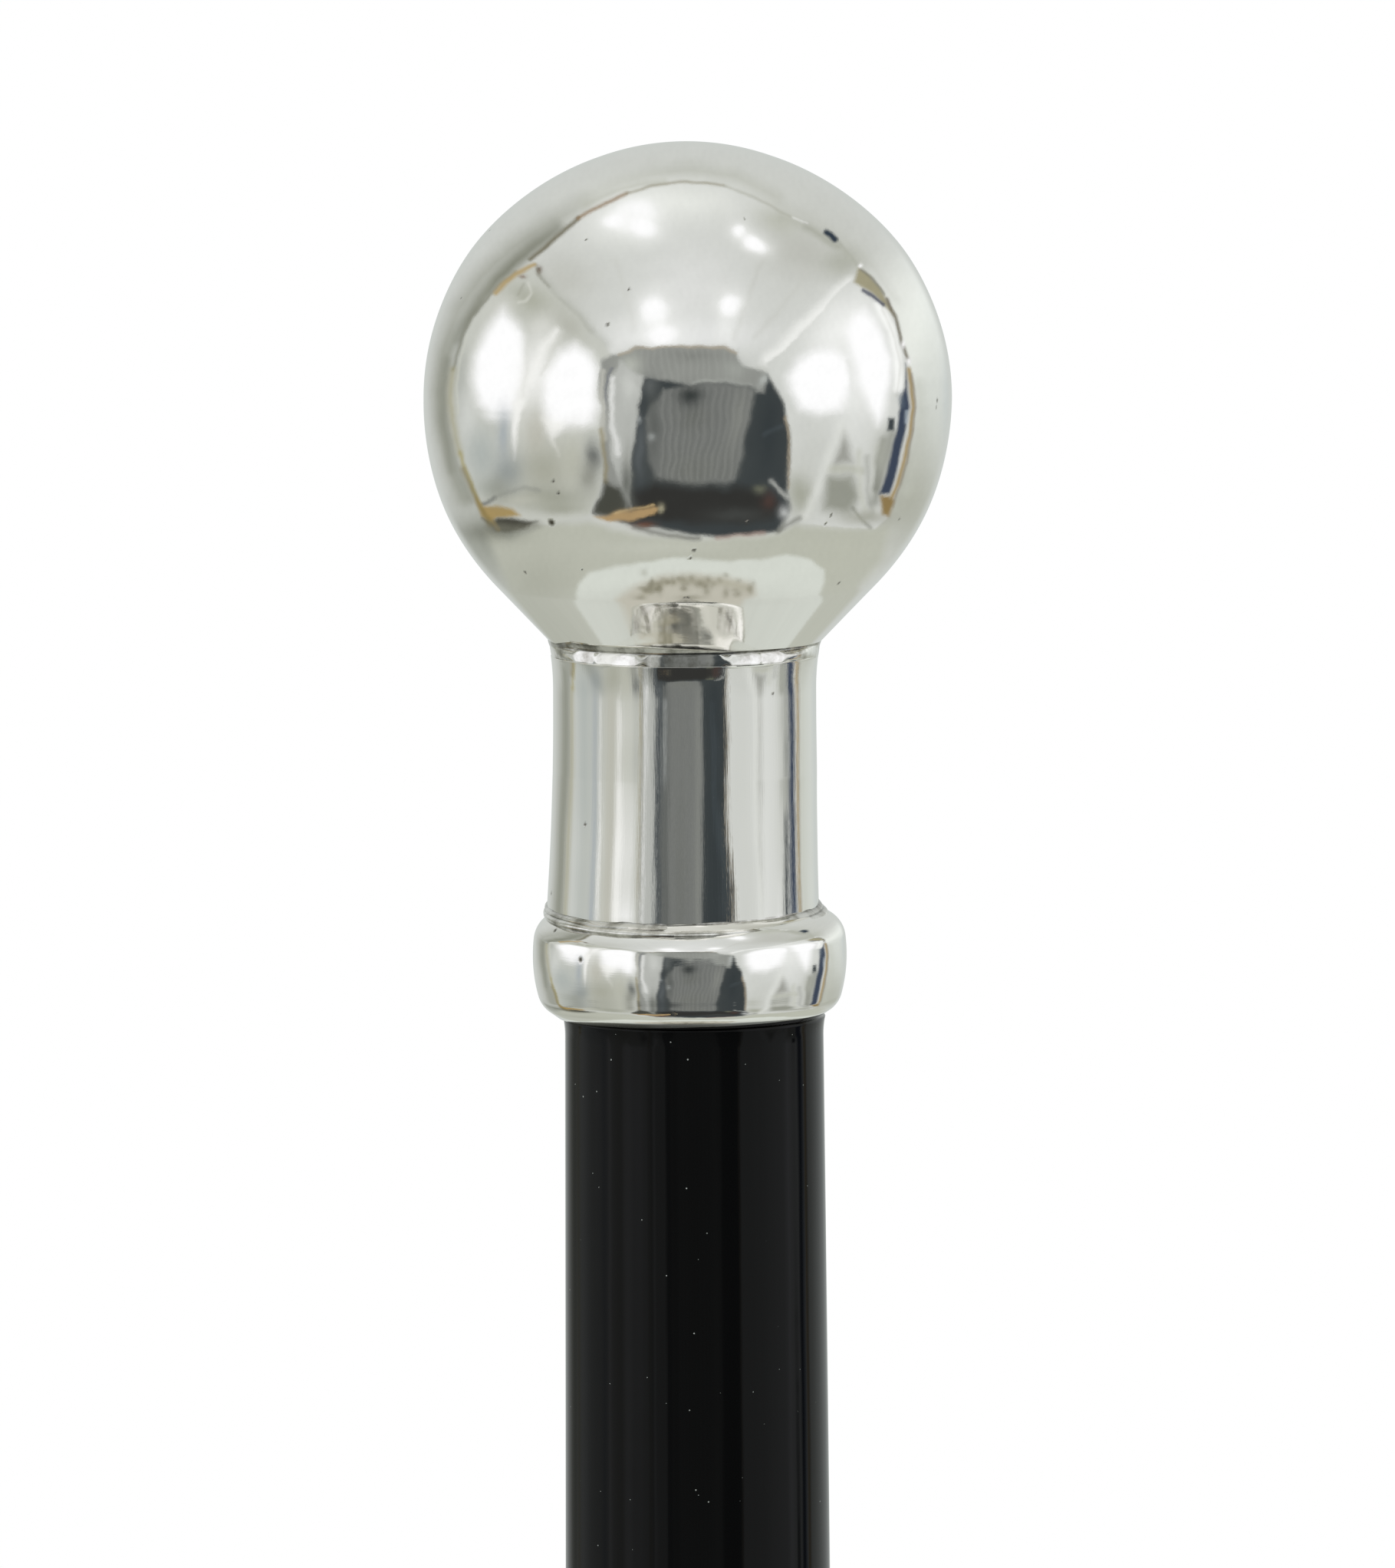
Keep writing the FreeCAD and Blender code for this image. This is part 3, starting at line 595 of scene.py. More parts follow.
knob_level, knob_radius, knob_wall = 912.2012, 18.49, 1.6
under_bend, over_bend, cone_turn, crown_turn = 19.05, 17.2, 43.6, 40.2
under_at, over_at = knob_radius - under_bend, knob_radius - over_bend
crown_level = knob_level - over_at * math.tan(math.radians(crown_turn))
crown_bend = over_bend + over_at / math.cos(math.radians(crown_turn))
throat_radius, throat_height, throat_aside = 9.55, 895.194, -0.4
cone_radius = under_at + under_bend * math.cos(math.radians(cone_turn))
cone_height = knob_level - under_bend * math.sin(math.radians(cone_turn))
knob_outline = [
    (seat_radius, throat_height), (throat_radius, throat_height),
    (throat_radius + 0.01, throat_height + 0.0105),
]
for step in range(1, 33):
    share = step / 32
    across = throat_radius + (cone_radius - throat_radius) * share
    knob_outline.append((across, throat_height + (cone_height - throat_height) * share))
knob_outline += arc(under_at, knob_level, under_bend, -cone_turn, 0, 100)[1:]
knob_outline += arc(over_at, knob_level, over_bend, 0, crown_turn, 90)[1:]
knob_outline += arc(0, crown_level, crown_bend, crown_turn, 90, 110)[1:-1]
knob_outline.append((0, crown_level + crown_bend))
for place, (radius, height) in enumerate(knob_outline):
    if 0 < place < len(knob_outline) - 1:
        up = height - knob_level
        fuller = 0.1 * math.exp(-((up + 8.5) / 4) ** 2) + 0.1 * math.exp(-((up - 11) / 3) ** 2)
        raised = 0.005 * max(0, up) + 0.06 * max(0, up - 16.8)
        knob_outline[place] = (radius + fuller, height + raised)
knob_outline.append((0, crown_level + crown_bend - knob_wall))
knob_outline += arc(0, crown_level, crown_bend - knob_wall, 90, crown_turn, 2)[1:]
knob_outline += arc(over_at, knob_level, over_bend - knob_wall, crown_turn, 0, 2)[1:]
knob_outline += arc(under_at, knob_level, under_bend - knob_wall, 0, -cone_turn, 2)[1:]
knob_outline.append((seat_radius, 896.652))
knob_aside = [(895.2, throat_aside), (912.2, -0.17), (922, -0.19), (930, -0.25)]
knob = turned("plated_knob", knob_outline, 720, knob_aside)

# The cone's edge was dressed up to meet the seam, more on one side than on the other
corners = np.empty(len(knob.data.vertices) * 3)
knob.data.vertices.foreach_get("co", corners)
corners = corners.reshape(-1, 3) * 1000
reach = np.hypot(corners[:, 0] - throat_aside, corners[:, 1])
swing = np.degrees(np.arctan2(corners[:, 0] - throat_aside, -corners[:, 1]))
lift = np.interp(swing, [-76, -58, -45, -20, 0, 18, 60], [0, 0.38, 0.3, 0.3, 0.2, 0.04, 0])
inward = np.clip((cone_radius - reach) / (cone_radius - throat_radius), 0, 1)
corners[:, 2] += lift * np.where(corners[:, 2] < cone_height + 0.006, inward, 0)
knob.data.vertices.foreach_set("co", (corners / 1000).ravel())
knob.data.update()
cone_rise_shares = [(-75, 0), (-40, 1.2), (-20, 1.9), (0, 2.7), (18, 3.9), (35, 3.9), (70, 0)]
swayed(knob, [(-90, 0), (90, 0)], ([(895.1, -1), (898.6, -1), (899.3, 0)], cone_rise_shares))
knob_pits = [
    (719, 681, 0.26), (685, 746, 0.13), (721, 627, 0.11), (728, 643, 0.13), (792, 423, 0.12),
    (820, 377, 0.1), (764, 313, 0.09), (905, 717, 0.13), (900, 727, 0.1), (1094, 760, 0.13),
    (1084, 671, 0.1), (1076, 683, 0.09), (1222, 522, 0.15), (1221, 531, 0.1), (639, 300, 0.1),
    (601, 389, 0.08), (971, 285, 0.08), (759, 742, 0.09), (974, 681, 0.08), (1173, 676, 0.1),
]
pitted(knob, knob_pits, 10, 23)
knob_silver = silver_finish("silver plate, buffed all ways", (1.1111, 1.1111, 1.1111), 0.05)
knob.data.materials.append(knob_silver)
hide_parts("knob_ball")
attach(knob, "stick")


# Filling and fixings. Hard amber casting resin in the hollow knob, cast round a zinc
# plated nut and washer on a steel hanger bolt that runs down into the shaft.

cloud_width = 8.3333
resin, tree, shader = finish_named("cast polyester resin")
where = add(tree, "TexCoord").outputs["Object"]
clouds = add(tree, "TexNoise", {"Vector": where, "Scale": 1000 / cloud_width, "Detail": 3})
amber = add(tree, "ValToRGB", {"Fac": clouds.outputs["Fac"]})
amber.color_ramp.elements[0].color = colour("6E5430")
amber.color_ramp.elements[1].color = colour("A98A55")
bump = add(tree, "Bump", {"Height": clouds.outputs["Fac"], "Strength": 0.2, "Distance": 0.0003})
tree.links.new(amber.outputs["Color"], shader.inputs["Base Color"])
tree.links.new(bump.outputs["Normal"], shader.inputs["Normal"])
shader.inputs["Roughness"].default_value = 0.35
shader.inputs["IOR"].default_value = 1.54
refinish("knob_filler", resin)
for fixing in ("anchor_washer", "anchor_nut", "handle_stud"):
    refinish(fixing, zinc)


# Studio. A pale floor, soft light, and round it all a tent of white cloth, lit from
# outside, that polished silver shows in every direction: its back and rim, a ceiling
# cloth, two side cloths that the lamps burn through, a dark doorway, and its table.

# The tent is painted as a true ball seen from far off would show it: the ball's middle
# and radius are in the picture's pixels, and u and v are places on its disc.
ball_x, ball_y, ball_radius = 895.7, 518.5, 345
knob_at = Vector((-0.00023, 0, knob_level / 1000))
straight = (knob_at - camera.location).normalized()
rightward = camera.matrix_world.to_3x3() @ Vector((1, 0, 0))
rightward = (rightward - straight * rightward.dot(straight)).normalized()
upward = rightward.cross(straight)

angles = np.linspace(0, 2 * math.pi, 1080, endpoint=False)
radii = np.linspace(0.002, 0.9999, 300)
u = np.outer(radii, np.cos(angles)).ravel()
v = np.outer(radii, np.sin(angles)).ravel()
toward = np.sqrt(1 - u * u - v * v)
half = np.outer(u, rightward) + np.outer(v, upward) - np.outer(toward, straight)
outward = 2 * toward[:, None] * half + np.array(straight)
X, Y = ball_x + ball_radius * u, ball_y - ball_radius * v
cloth = np.zeros((len(X), 3))


def waver(spacing, seed):
    """Soft waves over the cloth, from about -1 to 1, with crests spacing pixels apart."""
    trains = 24
    chance = np.random.RandomState(seed)
    waves = np.zeros(len(X))
    for _ in range(trains):
        turn, crest = chance.uniform(0, 2 * math.pi), spacing * chance.uniform(0.6, 2.0)
        across = X * math.cos(turn) + Y * math.sin(turn)
        waves += np.sin(across * 2 * math.pi / crest + chance.uniform(0, 2 * math.pi))
    return waves / math.sqrt(trains / 2)


loose = np.clip(1.4 * toward - 0.35, 0.1, 1)
X, Y = (
    X + loose * (1.0 * waver(40, 1) + 0.2 * waver(12, 2)),
    Y + loose * (1.0 * waver(40, 5) + 0.2 * waver(12, 6)),
)


def mirrored(x, y):
    """Where the tent has what a pixel of the knob shows, as the pixel that would show it
    on a true ball seen from far off."""
    place, normal = seen_on(knob, x, y)
    if place is None:
        return x, y
    middle = (sight(x, y).reflect(normal) - straight).normalized()
    return ball_x + ball_radius * middle.dot(rightward), ball_y - ball_radius * middle.dot(upward)


def curved(points):
    """A smooth curve through a run of points, four steps from each one to the next."""
    corners = np.array(points, float)
    corners = np.vstack([2 * corners[0] - corners[1], corners, 2 * corners[-1] - corners[-2]])
    curve = []
    for before, first, last, after in zip(corners, corners[1:], corners[2:], corners[3:]):
        for share in (0, 0.25, 0.5, 0.75):
            bend = (2 * before - 5 * first + 4 * last - after) * share ** 2
            bend += (3 * first - before - 3 * last + after) * share ** 3
            curve.append(tuple(first + ((last - before) * share + bend) / 2))
    return curve + [tuple(points[-1])]


def lay(share, code):
    """Lays a colour over the cloth, by the share of it at each point."""
    cloth[:] = cloth * (1 - share[:, None]) + np.array(colour(code)[:3]) * share[:, None]


def from_line(starts, ends):
    """How far each point of the cloth is from a run of straight lines."""
    nearest = np.full(len(X), 1e9)
    for (ax, ay), (bx, by) in zip(starts, ends):
        dx, dy = bx - ax, by - ay
        share = np.clip(((X - ax) * dx + (Y - ay) * dy) / max(dx * dx + dy * dy, 1e-9), 0, 1)
        nearest = np.minimum(nearest, np.hypot(X - ax - share * dx, Y - ay - share * dy))
    return nearest


def eased(value):
    """A share from 0 to 1 that starts and ends softly."""
    value = np.clip(value, 0, 1)
    return value * value * (3 - 2 * value)


def panel(code, points, soft=3, strength=1, below=()):
    """A piece of cloth inside an outline, soft at its edge. The corners in below lie where
    the knob no longer shows the tent, and are given in the true ball's pixels."""
    corners = [mirrored(*point) for point in points] + list(below)
    after = corners[1:] + corners[:1]
    inside = np.zeros(len(X), bool)
    for (ax, ay), (bx, by) in zip(corners, after):
        crosses = (ay > Y) != (by > Y)
        with np.errstate(divide="ignore", invalid="ignore"):
            inside ^= crosses & (X < (bx - ax) * (Y - ay) / (by - ay) + ax)
    gap = from_line(corners, after)
    lay(eased(np.where(inside, gap, -gap) / (2 * soft) + 0.5) * strength, code)


def strip(code, points, width=4, soft=2, strength=1):
    """A seam, cord or shadow along a line."""
    corners = [mirrored(*point) for point in points]
    gap = from_line(corners[:-1], corners[1:])
    lay(eased((width / 2 - gap) / (2 * soft) + 0.5) * strength, code)


def glow(code, x, y, across, tall, strength=1, lean=0, flat=1):
    """A soft patch of light or shade, leaning by an angle in degrees. flat is how flat its
    middle is."""
    x, y = mirrored(x, y)
    turn = math.radians(lean)
    along = ((X - x) * math.cos(turn) + (Y - y) * math.sin(turn)) / across
    over = ((Y - y) * math.cos(turn) - (X - x) * math.sin(turn)) / tall
    lay(np.exp(-(along ** 2 + over ** 2) ** flat) * strength, code)


def shining(x, y, across, tall, lean):
    """A lamp seen through the cloth: a white middle with a flat top, and its halo."""
    glow("F3F4F1", x, y, across * 1.4, tall * 1.4, 0.85, lean)
    glow("FFFFFF", x, y, across, tall, 1, lean, 2)


def paint(layers):
    """Paints a part of the tent, each layer over the last one."""
    for way, *details in layers:
        way(*details)


# The back of the tent, which the knob's rim shows, and the shade beside the tent's slit
lay(np.ones(len(X)), "C8CAC4")
back_layers = [
    (glow, "EDF0E9", 1200, 425, 50, 110),
    (glow, "D2D6CF", 1214, 530, 24, 110, 0.8),
    (glow, "BEC5C2", 1238, 520, 9, 100, 0.7),
    (glow, "ABADA0", 1188, 655, 52, 84, 0.9),
    (glow, "989B90", 645, 705, 80, 70, 0.95),
    (strip, "96988C", [
        (763, 266), (717, 290), (672, 320), (628, 360), (597, 405), (577, 457), (571, 510), (575, 561),
        (587, 611), (602, 648),
    ], 14, 19, 0.85),
    (strip, "8B8D80", [
        (727, 297), (685, 328), (659, 353), (641, 371), (625, 392), (610, 414), (595, 438), (584, 464),
        (577, 491), (575, 518), (577, 546), (586, 584), (597, 620), (610, 650),
    ], 12, 13, 0.8),
    (strip, "787A6C", [
        (727, 299), (698, 320), (668, 344), (646, 368), (628, 393), (613, 418), (601, 442),
    ], 12, 10, 0.9),
    (strip, "85877B", [(584, 470), (578, 510), (580, 560), (590, 612)], 6, 9, 0.8),
    (strip, "AEB0A4", [
        (760, 262), (805, 240), (850, 228), (900, 222), (960, 230), (1012, 256),
    ], 8, 14, 0.8),
    (strip, "BEC0B6", [(1010, 262), (1060, 284), (1100, 312), (1140, 350), (1168, 390)], 5, 9, 0.4),
    (strip, "BEC1B6", [(1198, 500), (1202, 540), (1196, 590), (1182, 640)], 8, 12, 0.6),
]
paint(back_layers)

# The table under the stick, paler where light falls through the slit, and soiled round it
table_layers = [
    (panel, "B6B8AB", [
        (632, 692), (665, 702), (704, 684), (767, 680), (840, 699), (920, 703), (1018, 697), (1035, 684),
        (1090, 690), (1133, 690), (1160, 682), (1150, 730), (1120, 765),
    ], 8, 1, [(1150, 860), (650, 860), (665, 760)]),
    (glow, "B8BAAC", 1090, 728, 60, 40, 0.7),
    (glow, "A6A89B", 700, 770, 50, 44, 0.7),
    (glow, "C0C2B6", 860, 712, 80, 10, 0.6),
    (panel, "D2D6CD", [
        (762, 800), (753, 775), (755, 761), (769, 746), (807, 738), (877, 727), (951, 733), (989, 729),
        (1026, 723), (1059, 729), (1075, 743), (1075, 759), (1063, 785),
    ], 4, 1, [(1090, 860), (750, 860)]),
    (glow, "BEC0B7", 895, 812, 160, 18, 0.8),
    (panel, "BDBAAC", [
        (804, 782), (825, 766), (853, 753), (900, 748), (951, 751), (984, 762), (986, 775), (970, 786),
    ], 7, 0.95, [(960, 800), (820, 800)]),
    (strip, "A9A693", [(838, 775), (856, 762), (900, 757), (946, 760), (975, 769)], 5, 6, 0.7),
]
paint(table_layers)
for x, y, along, over in [
    (852, 760, 6, 4), (861, 767, 4, 7), (878, 758, 4, 6), (891, 765, 5, 6), (911, 759, 8, 5),
    (922, 769, 5, 6), (946, 772, 4, 7), (960, 775, 6, 4), (977, 768, 4, 6), (835, 778, 8, 4),
    (900, 779, 16, 3),
]:
    glow("76735F", x, y, along, over, 0.5)
soil = np.random.RandomState(41)
soil_left, soil_right, soil_x, soil_y, soil_sag = 836, 984, 908, 758, 0.0014
for _ in range(36):
    x = soil.uniform(soil_left, soil_right)
    y = soil_y + soil_sag * (x - soil_x) ** 2 + soil.normal() * 6
    glow("7C7965", x, y, soil.uniform(2, 6), soil.uniform(2, 5), soil.uniform(0.25, 0.6))

# The ceiling cloth, with its lamps and its folds
ceiling_edge = [
    (690, 338), (719, 315), (753, 284), (788, 266), (817, 253), (851, 242), (895, 236), (944, 242),
    (983, 257), (1013, 274), (1042, 288), (1076, 301), (1091, 313), (1121, 349),
]
left_edge = [
    (696, 343), (672, 355), (650, 374), (630, 395), (613, 420), (600, 450), (591, 482), (588, 511),
    (589, 536), (593, 562), (600, 590), (609, 617), (619, 643), (628, 664),
]
right_edge = [
    (1121, 350), (1136, 362), (1157, 389), (1169, 419), (1175, 440), (1184, 470), (1190, 497), (1193, 524),
    (1191, 548), (1187, 575), (1179, 608), (1172, 635), (1164, 659), (1157, 674),
]
left_fold = [(702, 359), (726, 389), (750, 410), (789, 449)]
right_fold = [(1001, 474), (1037, 443), (1070, 410), (1097, 377), (1115, 362)]
doorway_top = [(985, 480), (907, 470), (812, 466)]
ceiling_layers = [
    (panel, "CDCFCA", curved(ceiling_edge) + right_fold[::-1] + doorway_top + left_fold[::-1], 2.5),
    (glow, "E6E8E2", 880, 262, 90, 26, 0.9),
    (glow, "DFE1DB", 800, 300, 60, 30, 0.6),
    (glow, "B9BAB2", 1045, 330, 54, 44, 0.85, 30),
    (glow, "B8BAAE", 1014, 290, 26, 14, 0.8, 25),
    (glow, "A9AB9F", 1098, 342, 26, 24, 0.8),
    (glow, "BDBEB6", 738, 362, 40, 40, 0.75, -40),
    (glow, "DDDEDB", 900, 380, 64, 74, 0.85),
    (glow, "E4E5E3", 905, 438, 90, 20, 0.9),
    (glow, "E4E5E2", 820, 440, 30, 22, 0.8),
    (strip, "ECEDE9", [(1108, 368), (1084, 393), (1054, 420), (1016, 456), (1000, 470)], 14, 9),
    (strip, "BFC0B9", [(1000, 330), (978, 380), (957, 440)], 3, 6, 0.6),
    (strip, "C2C3BC", [(1060, 350), (1020, 400), (985, 440)], 3, 7, 0.5),
    (strip, "C6C7C0", [(800, 340), (820, 390), (826, 430)], 4, 7, 0.5),
    (strip, "A3A69B", left_fold, 5, 14, 0.75),
    (strip, "A0A296", [(728, 394), (748, 410), (772, 430)], 5, 7, 0.55),
    (strip, "8B8C80", [(697, 345), (703, 358), (714, 372)], 4, 4, 0.8),
]
paint(ceiling_layers)
for x, y, across, tall, lean in [
    (827, 280, 27, 17, -12), (802, 288, 16, 8, -10), (838, 296, 17, 11, 20), (964, 301, 8, 8, 0),
    (983, 318, 16, 9, 35), (854, 404, 17, 19, 10), (862, 436, 20, 13, 0), (952, 398, 13, 13, 0),
]:
    shining(x, y, across, tall, lean)
ceiling_trim = [
    (glow, "EFF0ED", 947, 428, 14, 18, 0.7),
    (strip, "B9BBAF", [(762, 268), (799, 251), (832, 241), (866, 236)], 4, 6, 0.75),
    (strip, "6A654F", ceiling_edge[:3], 5, 3, 0.9),
    (strip, "8E7556", ceiling_edge[2:5], 4, 2.5, 0.85),
    (strip, "8F8A74", ceiling_edge[4:8], 3, 2.5, 0.75),
    (strip, "A8A99C", ceiling_edge[7:11], 2.5, 2.5, 0.7),
    (strip, "FFFFFF", [(1034, 283), (1046, 289), (1052, 290)], 2, 1.5, 0.7),
    (strip, "A9ABA0", ceiling_edge[11:], 3, 3, 0.7),
    (strip, "B0B2A6", [(1018, 282), (1060, 299), (1094, 323), (1118, 348)], 6, 9, 0.8),
    (strip, "9FA194", [(1052, 296), (1072, 307), (1092, 322)], 6, 7, 0.6),
    (strip, "333D47", [(1077, 302), (1083, 307), (1089, 312)], 7, 2.5),
    (glow, "FFFFFF", 1122, 347, 2.5, 3.5, 0.9),
]
paint(ceiling_trim)

# The left cloth: two lamps with folds between them, and blue and beige shade below them
doorway_left = [(645, 676), (704, 684), (767, 672), (786, 620), (786, 520), (800, 468)]
left_cloth_layers = [
    (panel, "C4C6BE", curved(left_edge) + doorway_left + left_fold[::-1], 3),
    (glow, "A9AB9D", 690, 390, 36, 20, 0.9, 20),
    (glow, "AEAFA4", 742, 424, 26, 14, 0.7, 42),
    (glow, "CDCEC6", 704, 424, 16, 12, 0.7),
    (glow, "CBCCC4", 652, 398, 20, 14, 0.7),
    (glow, "ABAEA7", 600, 500, 10, 60, 0.85),
    (glow, "D6D8D4", 610, 545, 14, 40, 0.6),
    (panel, "FFFFFF", [
        (657, 404), (672, 422), (682, 440), (684, 465), (680, 500), (672, 535), (660, 547), (640, 543),
        (625, 527), (617, 495), (620, 465), (632, 435), (645, 415),
    ], 13),
    (panel, "FFFFFF", [
        (655, 420), (680, 440), (682, 470), (676, 505), (650, 530), (626, 505), (630, 460),
    ], 9),
    (panel, "FFFFFF", [
        (728, 458), (750, 450), (768, 462), (777, 480), (778, 520), (774, 550), (758, 560), (738, 556),
        (722, 563), (711, 560), (706, 520), (708, 485),
    ], 13),
    (panel, "FFFFFF", [(735, 470), (765, 475), (772, 510), (762, 545), (730, 545), (716, 515)], 10),
    (glow, "F6F6F3", 696, 488, 20, 52, 0.85, 14),
    (panel, "F4F4F0", [(668, 524), (682, 520), (677, 556), (670, 600)], 4, 0.95),
    (panel, "F8F8F4", [(706, 545), (736, 550), (722, 574), (727, 592)], 6, 0.85),
    (strip, "F3F3EF", [(727, 430), (709, 452), (696, 476), (685, 503), (679, 526)], 7, 7, 0.85),
    (strip, "CFD0C9", [(736, 430), (718, 458), (706, 488)], 3, 4, 0.6),
    (strip, "D8D9D3", [(690, 440), (688, 480), (682, 520)], 3, 4, 0.5),
    (glow, "FFFFFF", 676, 436, 3, 4, 0.8),
    (glow, "BDBCB1", 699, 568, 14, 26, 0.85),
    (glow, "A4ABAF", 658, 568, 9, 30, 0.9),
    (glow, "8B9293", 664, 614, 24, 22, 0.85),
    (glow, "ABB1AD", 626, 592, 22, 34, 0.9),
    (glow, "A2A79F", 640, 636, 20, 12, 0.7),
    (glow, "A3A496", 712, 612, 36, 32, 0.9),
    (glow, "B4B5A8", 746, 604, 18, 34, 0.8),
    (glow, "989A8C", 716, 650, 56, 14, 0.85),
    (glow, "676A67", 773, 596, 11, 20, 0.95),
    (glow, "86877D", 768, 624, 13, 16, 0.7),
    (strip, "43464A", [(628, 656), (634, 654), (646, 648)], 5, 3, 0.7),
    (strip, "6E716F", [(644, 648), (664, 641), (684, 638), (702, 641)], 3, 4, 0.4),
    (glow, "9C9E90", 730, 662, 34, 9, 0.8),
    (glow, "B9BAAE", 676, 652, 26, 6, 0.8),
    (strip, "CFD0C7", [(690, 366), (693, 380), (686, 392), (676, 396)], 3, 2.5, 0.8),
    (strip, "9C9D8F", [(683, 368), (677, 384)], 3, 3, 0.6),
    (strip, "7B7C6E", curved(left_edge[1:7]), 3, 3, 0.8),
    (strip, "CACCC1", [(610, 436), (600, 468), (596, 500), (597, 540)], 2.5, 2, 0.6),
    (strip, "B09A6C", [(695, 345), (684, 350), (672, 357), (658, 370), (646, 383)], 6, 3.5, 0.9),
    (glow, "5E4A36", 703, 353, 4, 6, 0.8),
    (glow, "745848", 681, 360, 5, 3, 0.7),
    (strip, "9C9670", curved(left_edge[6:11]), 5, 7, 0.7),
    (strip, "A39A68", curved(left_edge[10:]), 4, 3.5, 0.85),
    (strip, "86877A", [
        (582, 490), (580, 520), (585, 562), (594, 598), (604, 630), (616, 656),
    ], 2.5, 3, 0.3),
    (panel, "A48E5E", [
        (620, 648), (630, 659), (648, 658), (668, 663), (678, 671), (660, 674), (648, 676), (640, 682),
        (628, 674),
    ], 4),
    (panel, "42413A", [
        (628, 675), (640, 681), (650, 676), (668, 675), (702, 680), (684, 688), (664, 693), (648, 693),
    ], 4),
    (strip, "9A8654", [(638, 674), (650, 690)], 5, 3, 0.8),
    (glow, "5E5F52", 642, 694, 42, 15, 0.55),
    (strip, "7A6E46", [(604, 612), (614, 636), (625, 660), (640, 684)], 6, 4, 0.6),
    (strip, "77776A", [(640, 686), (668, 690), (700, 684)], 9, 8, 0.6),
    (glow, "83857A", 652, 640, 18, 20, 0.5),
]
paint(left_cloth_layers)

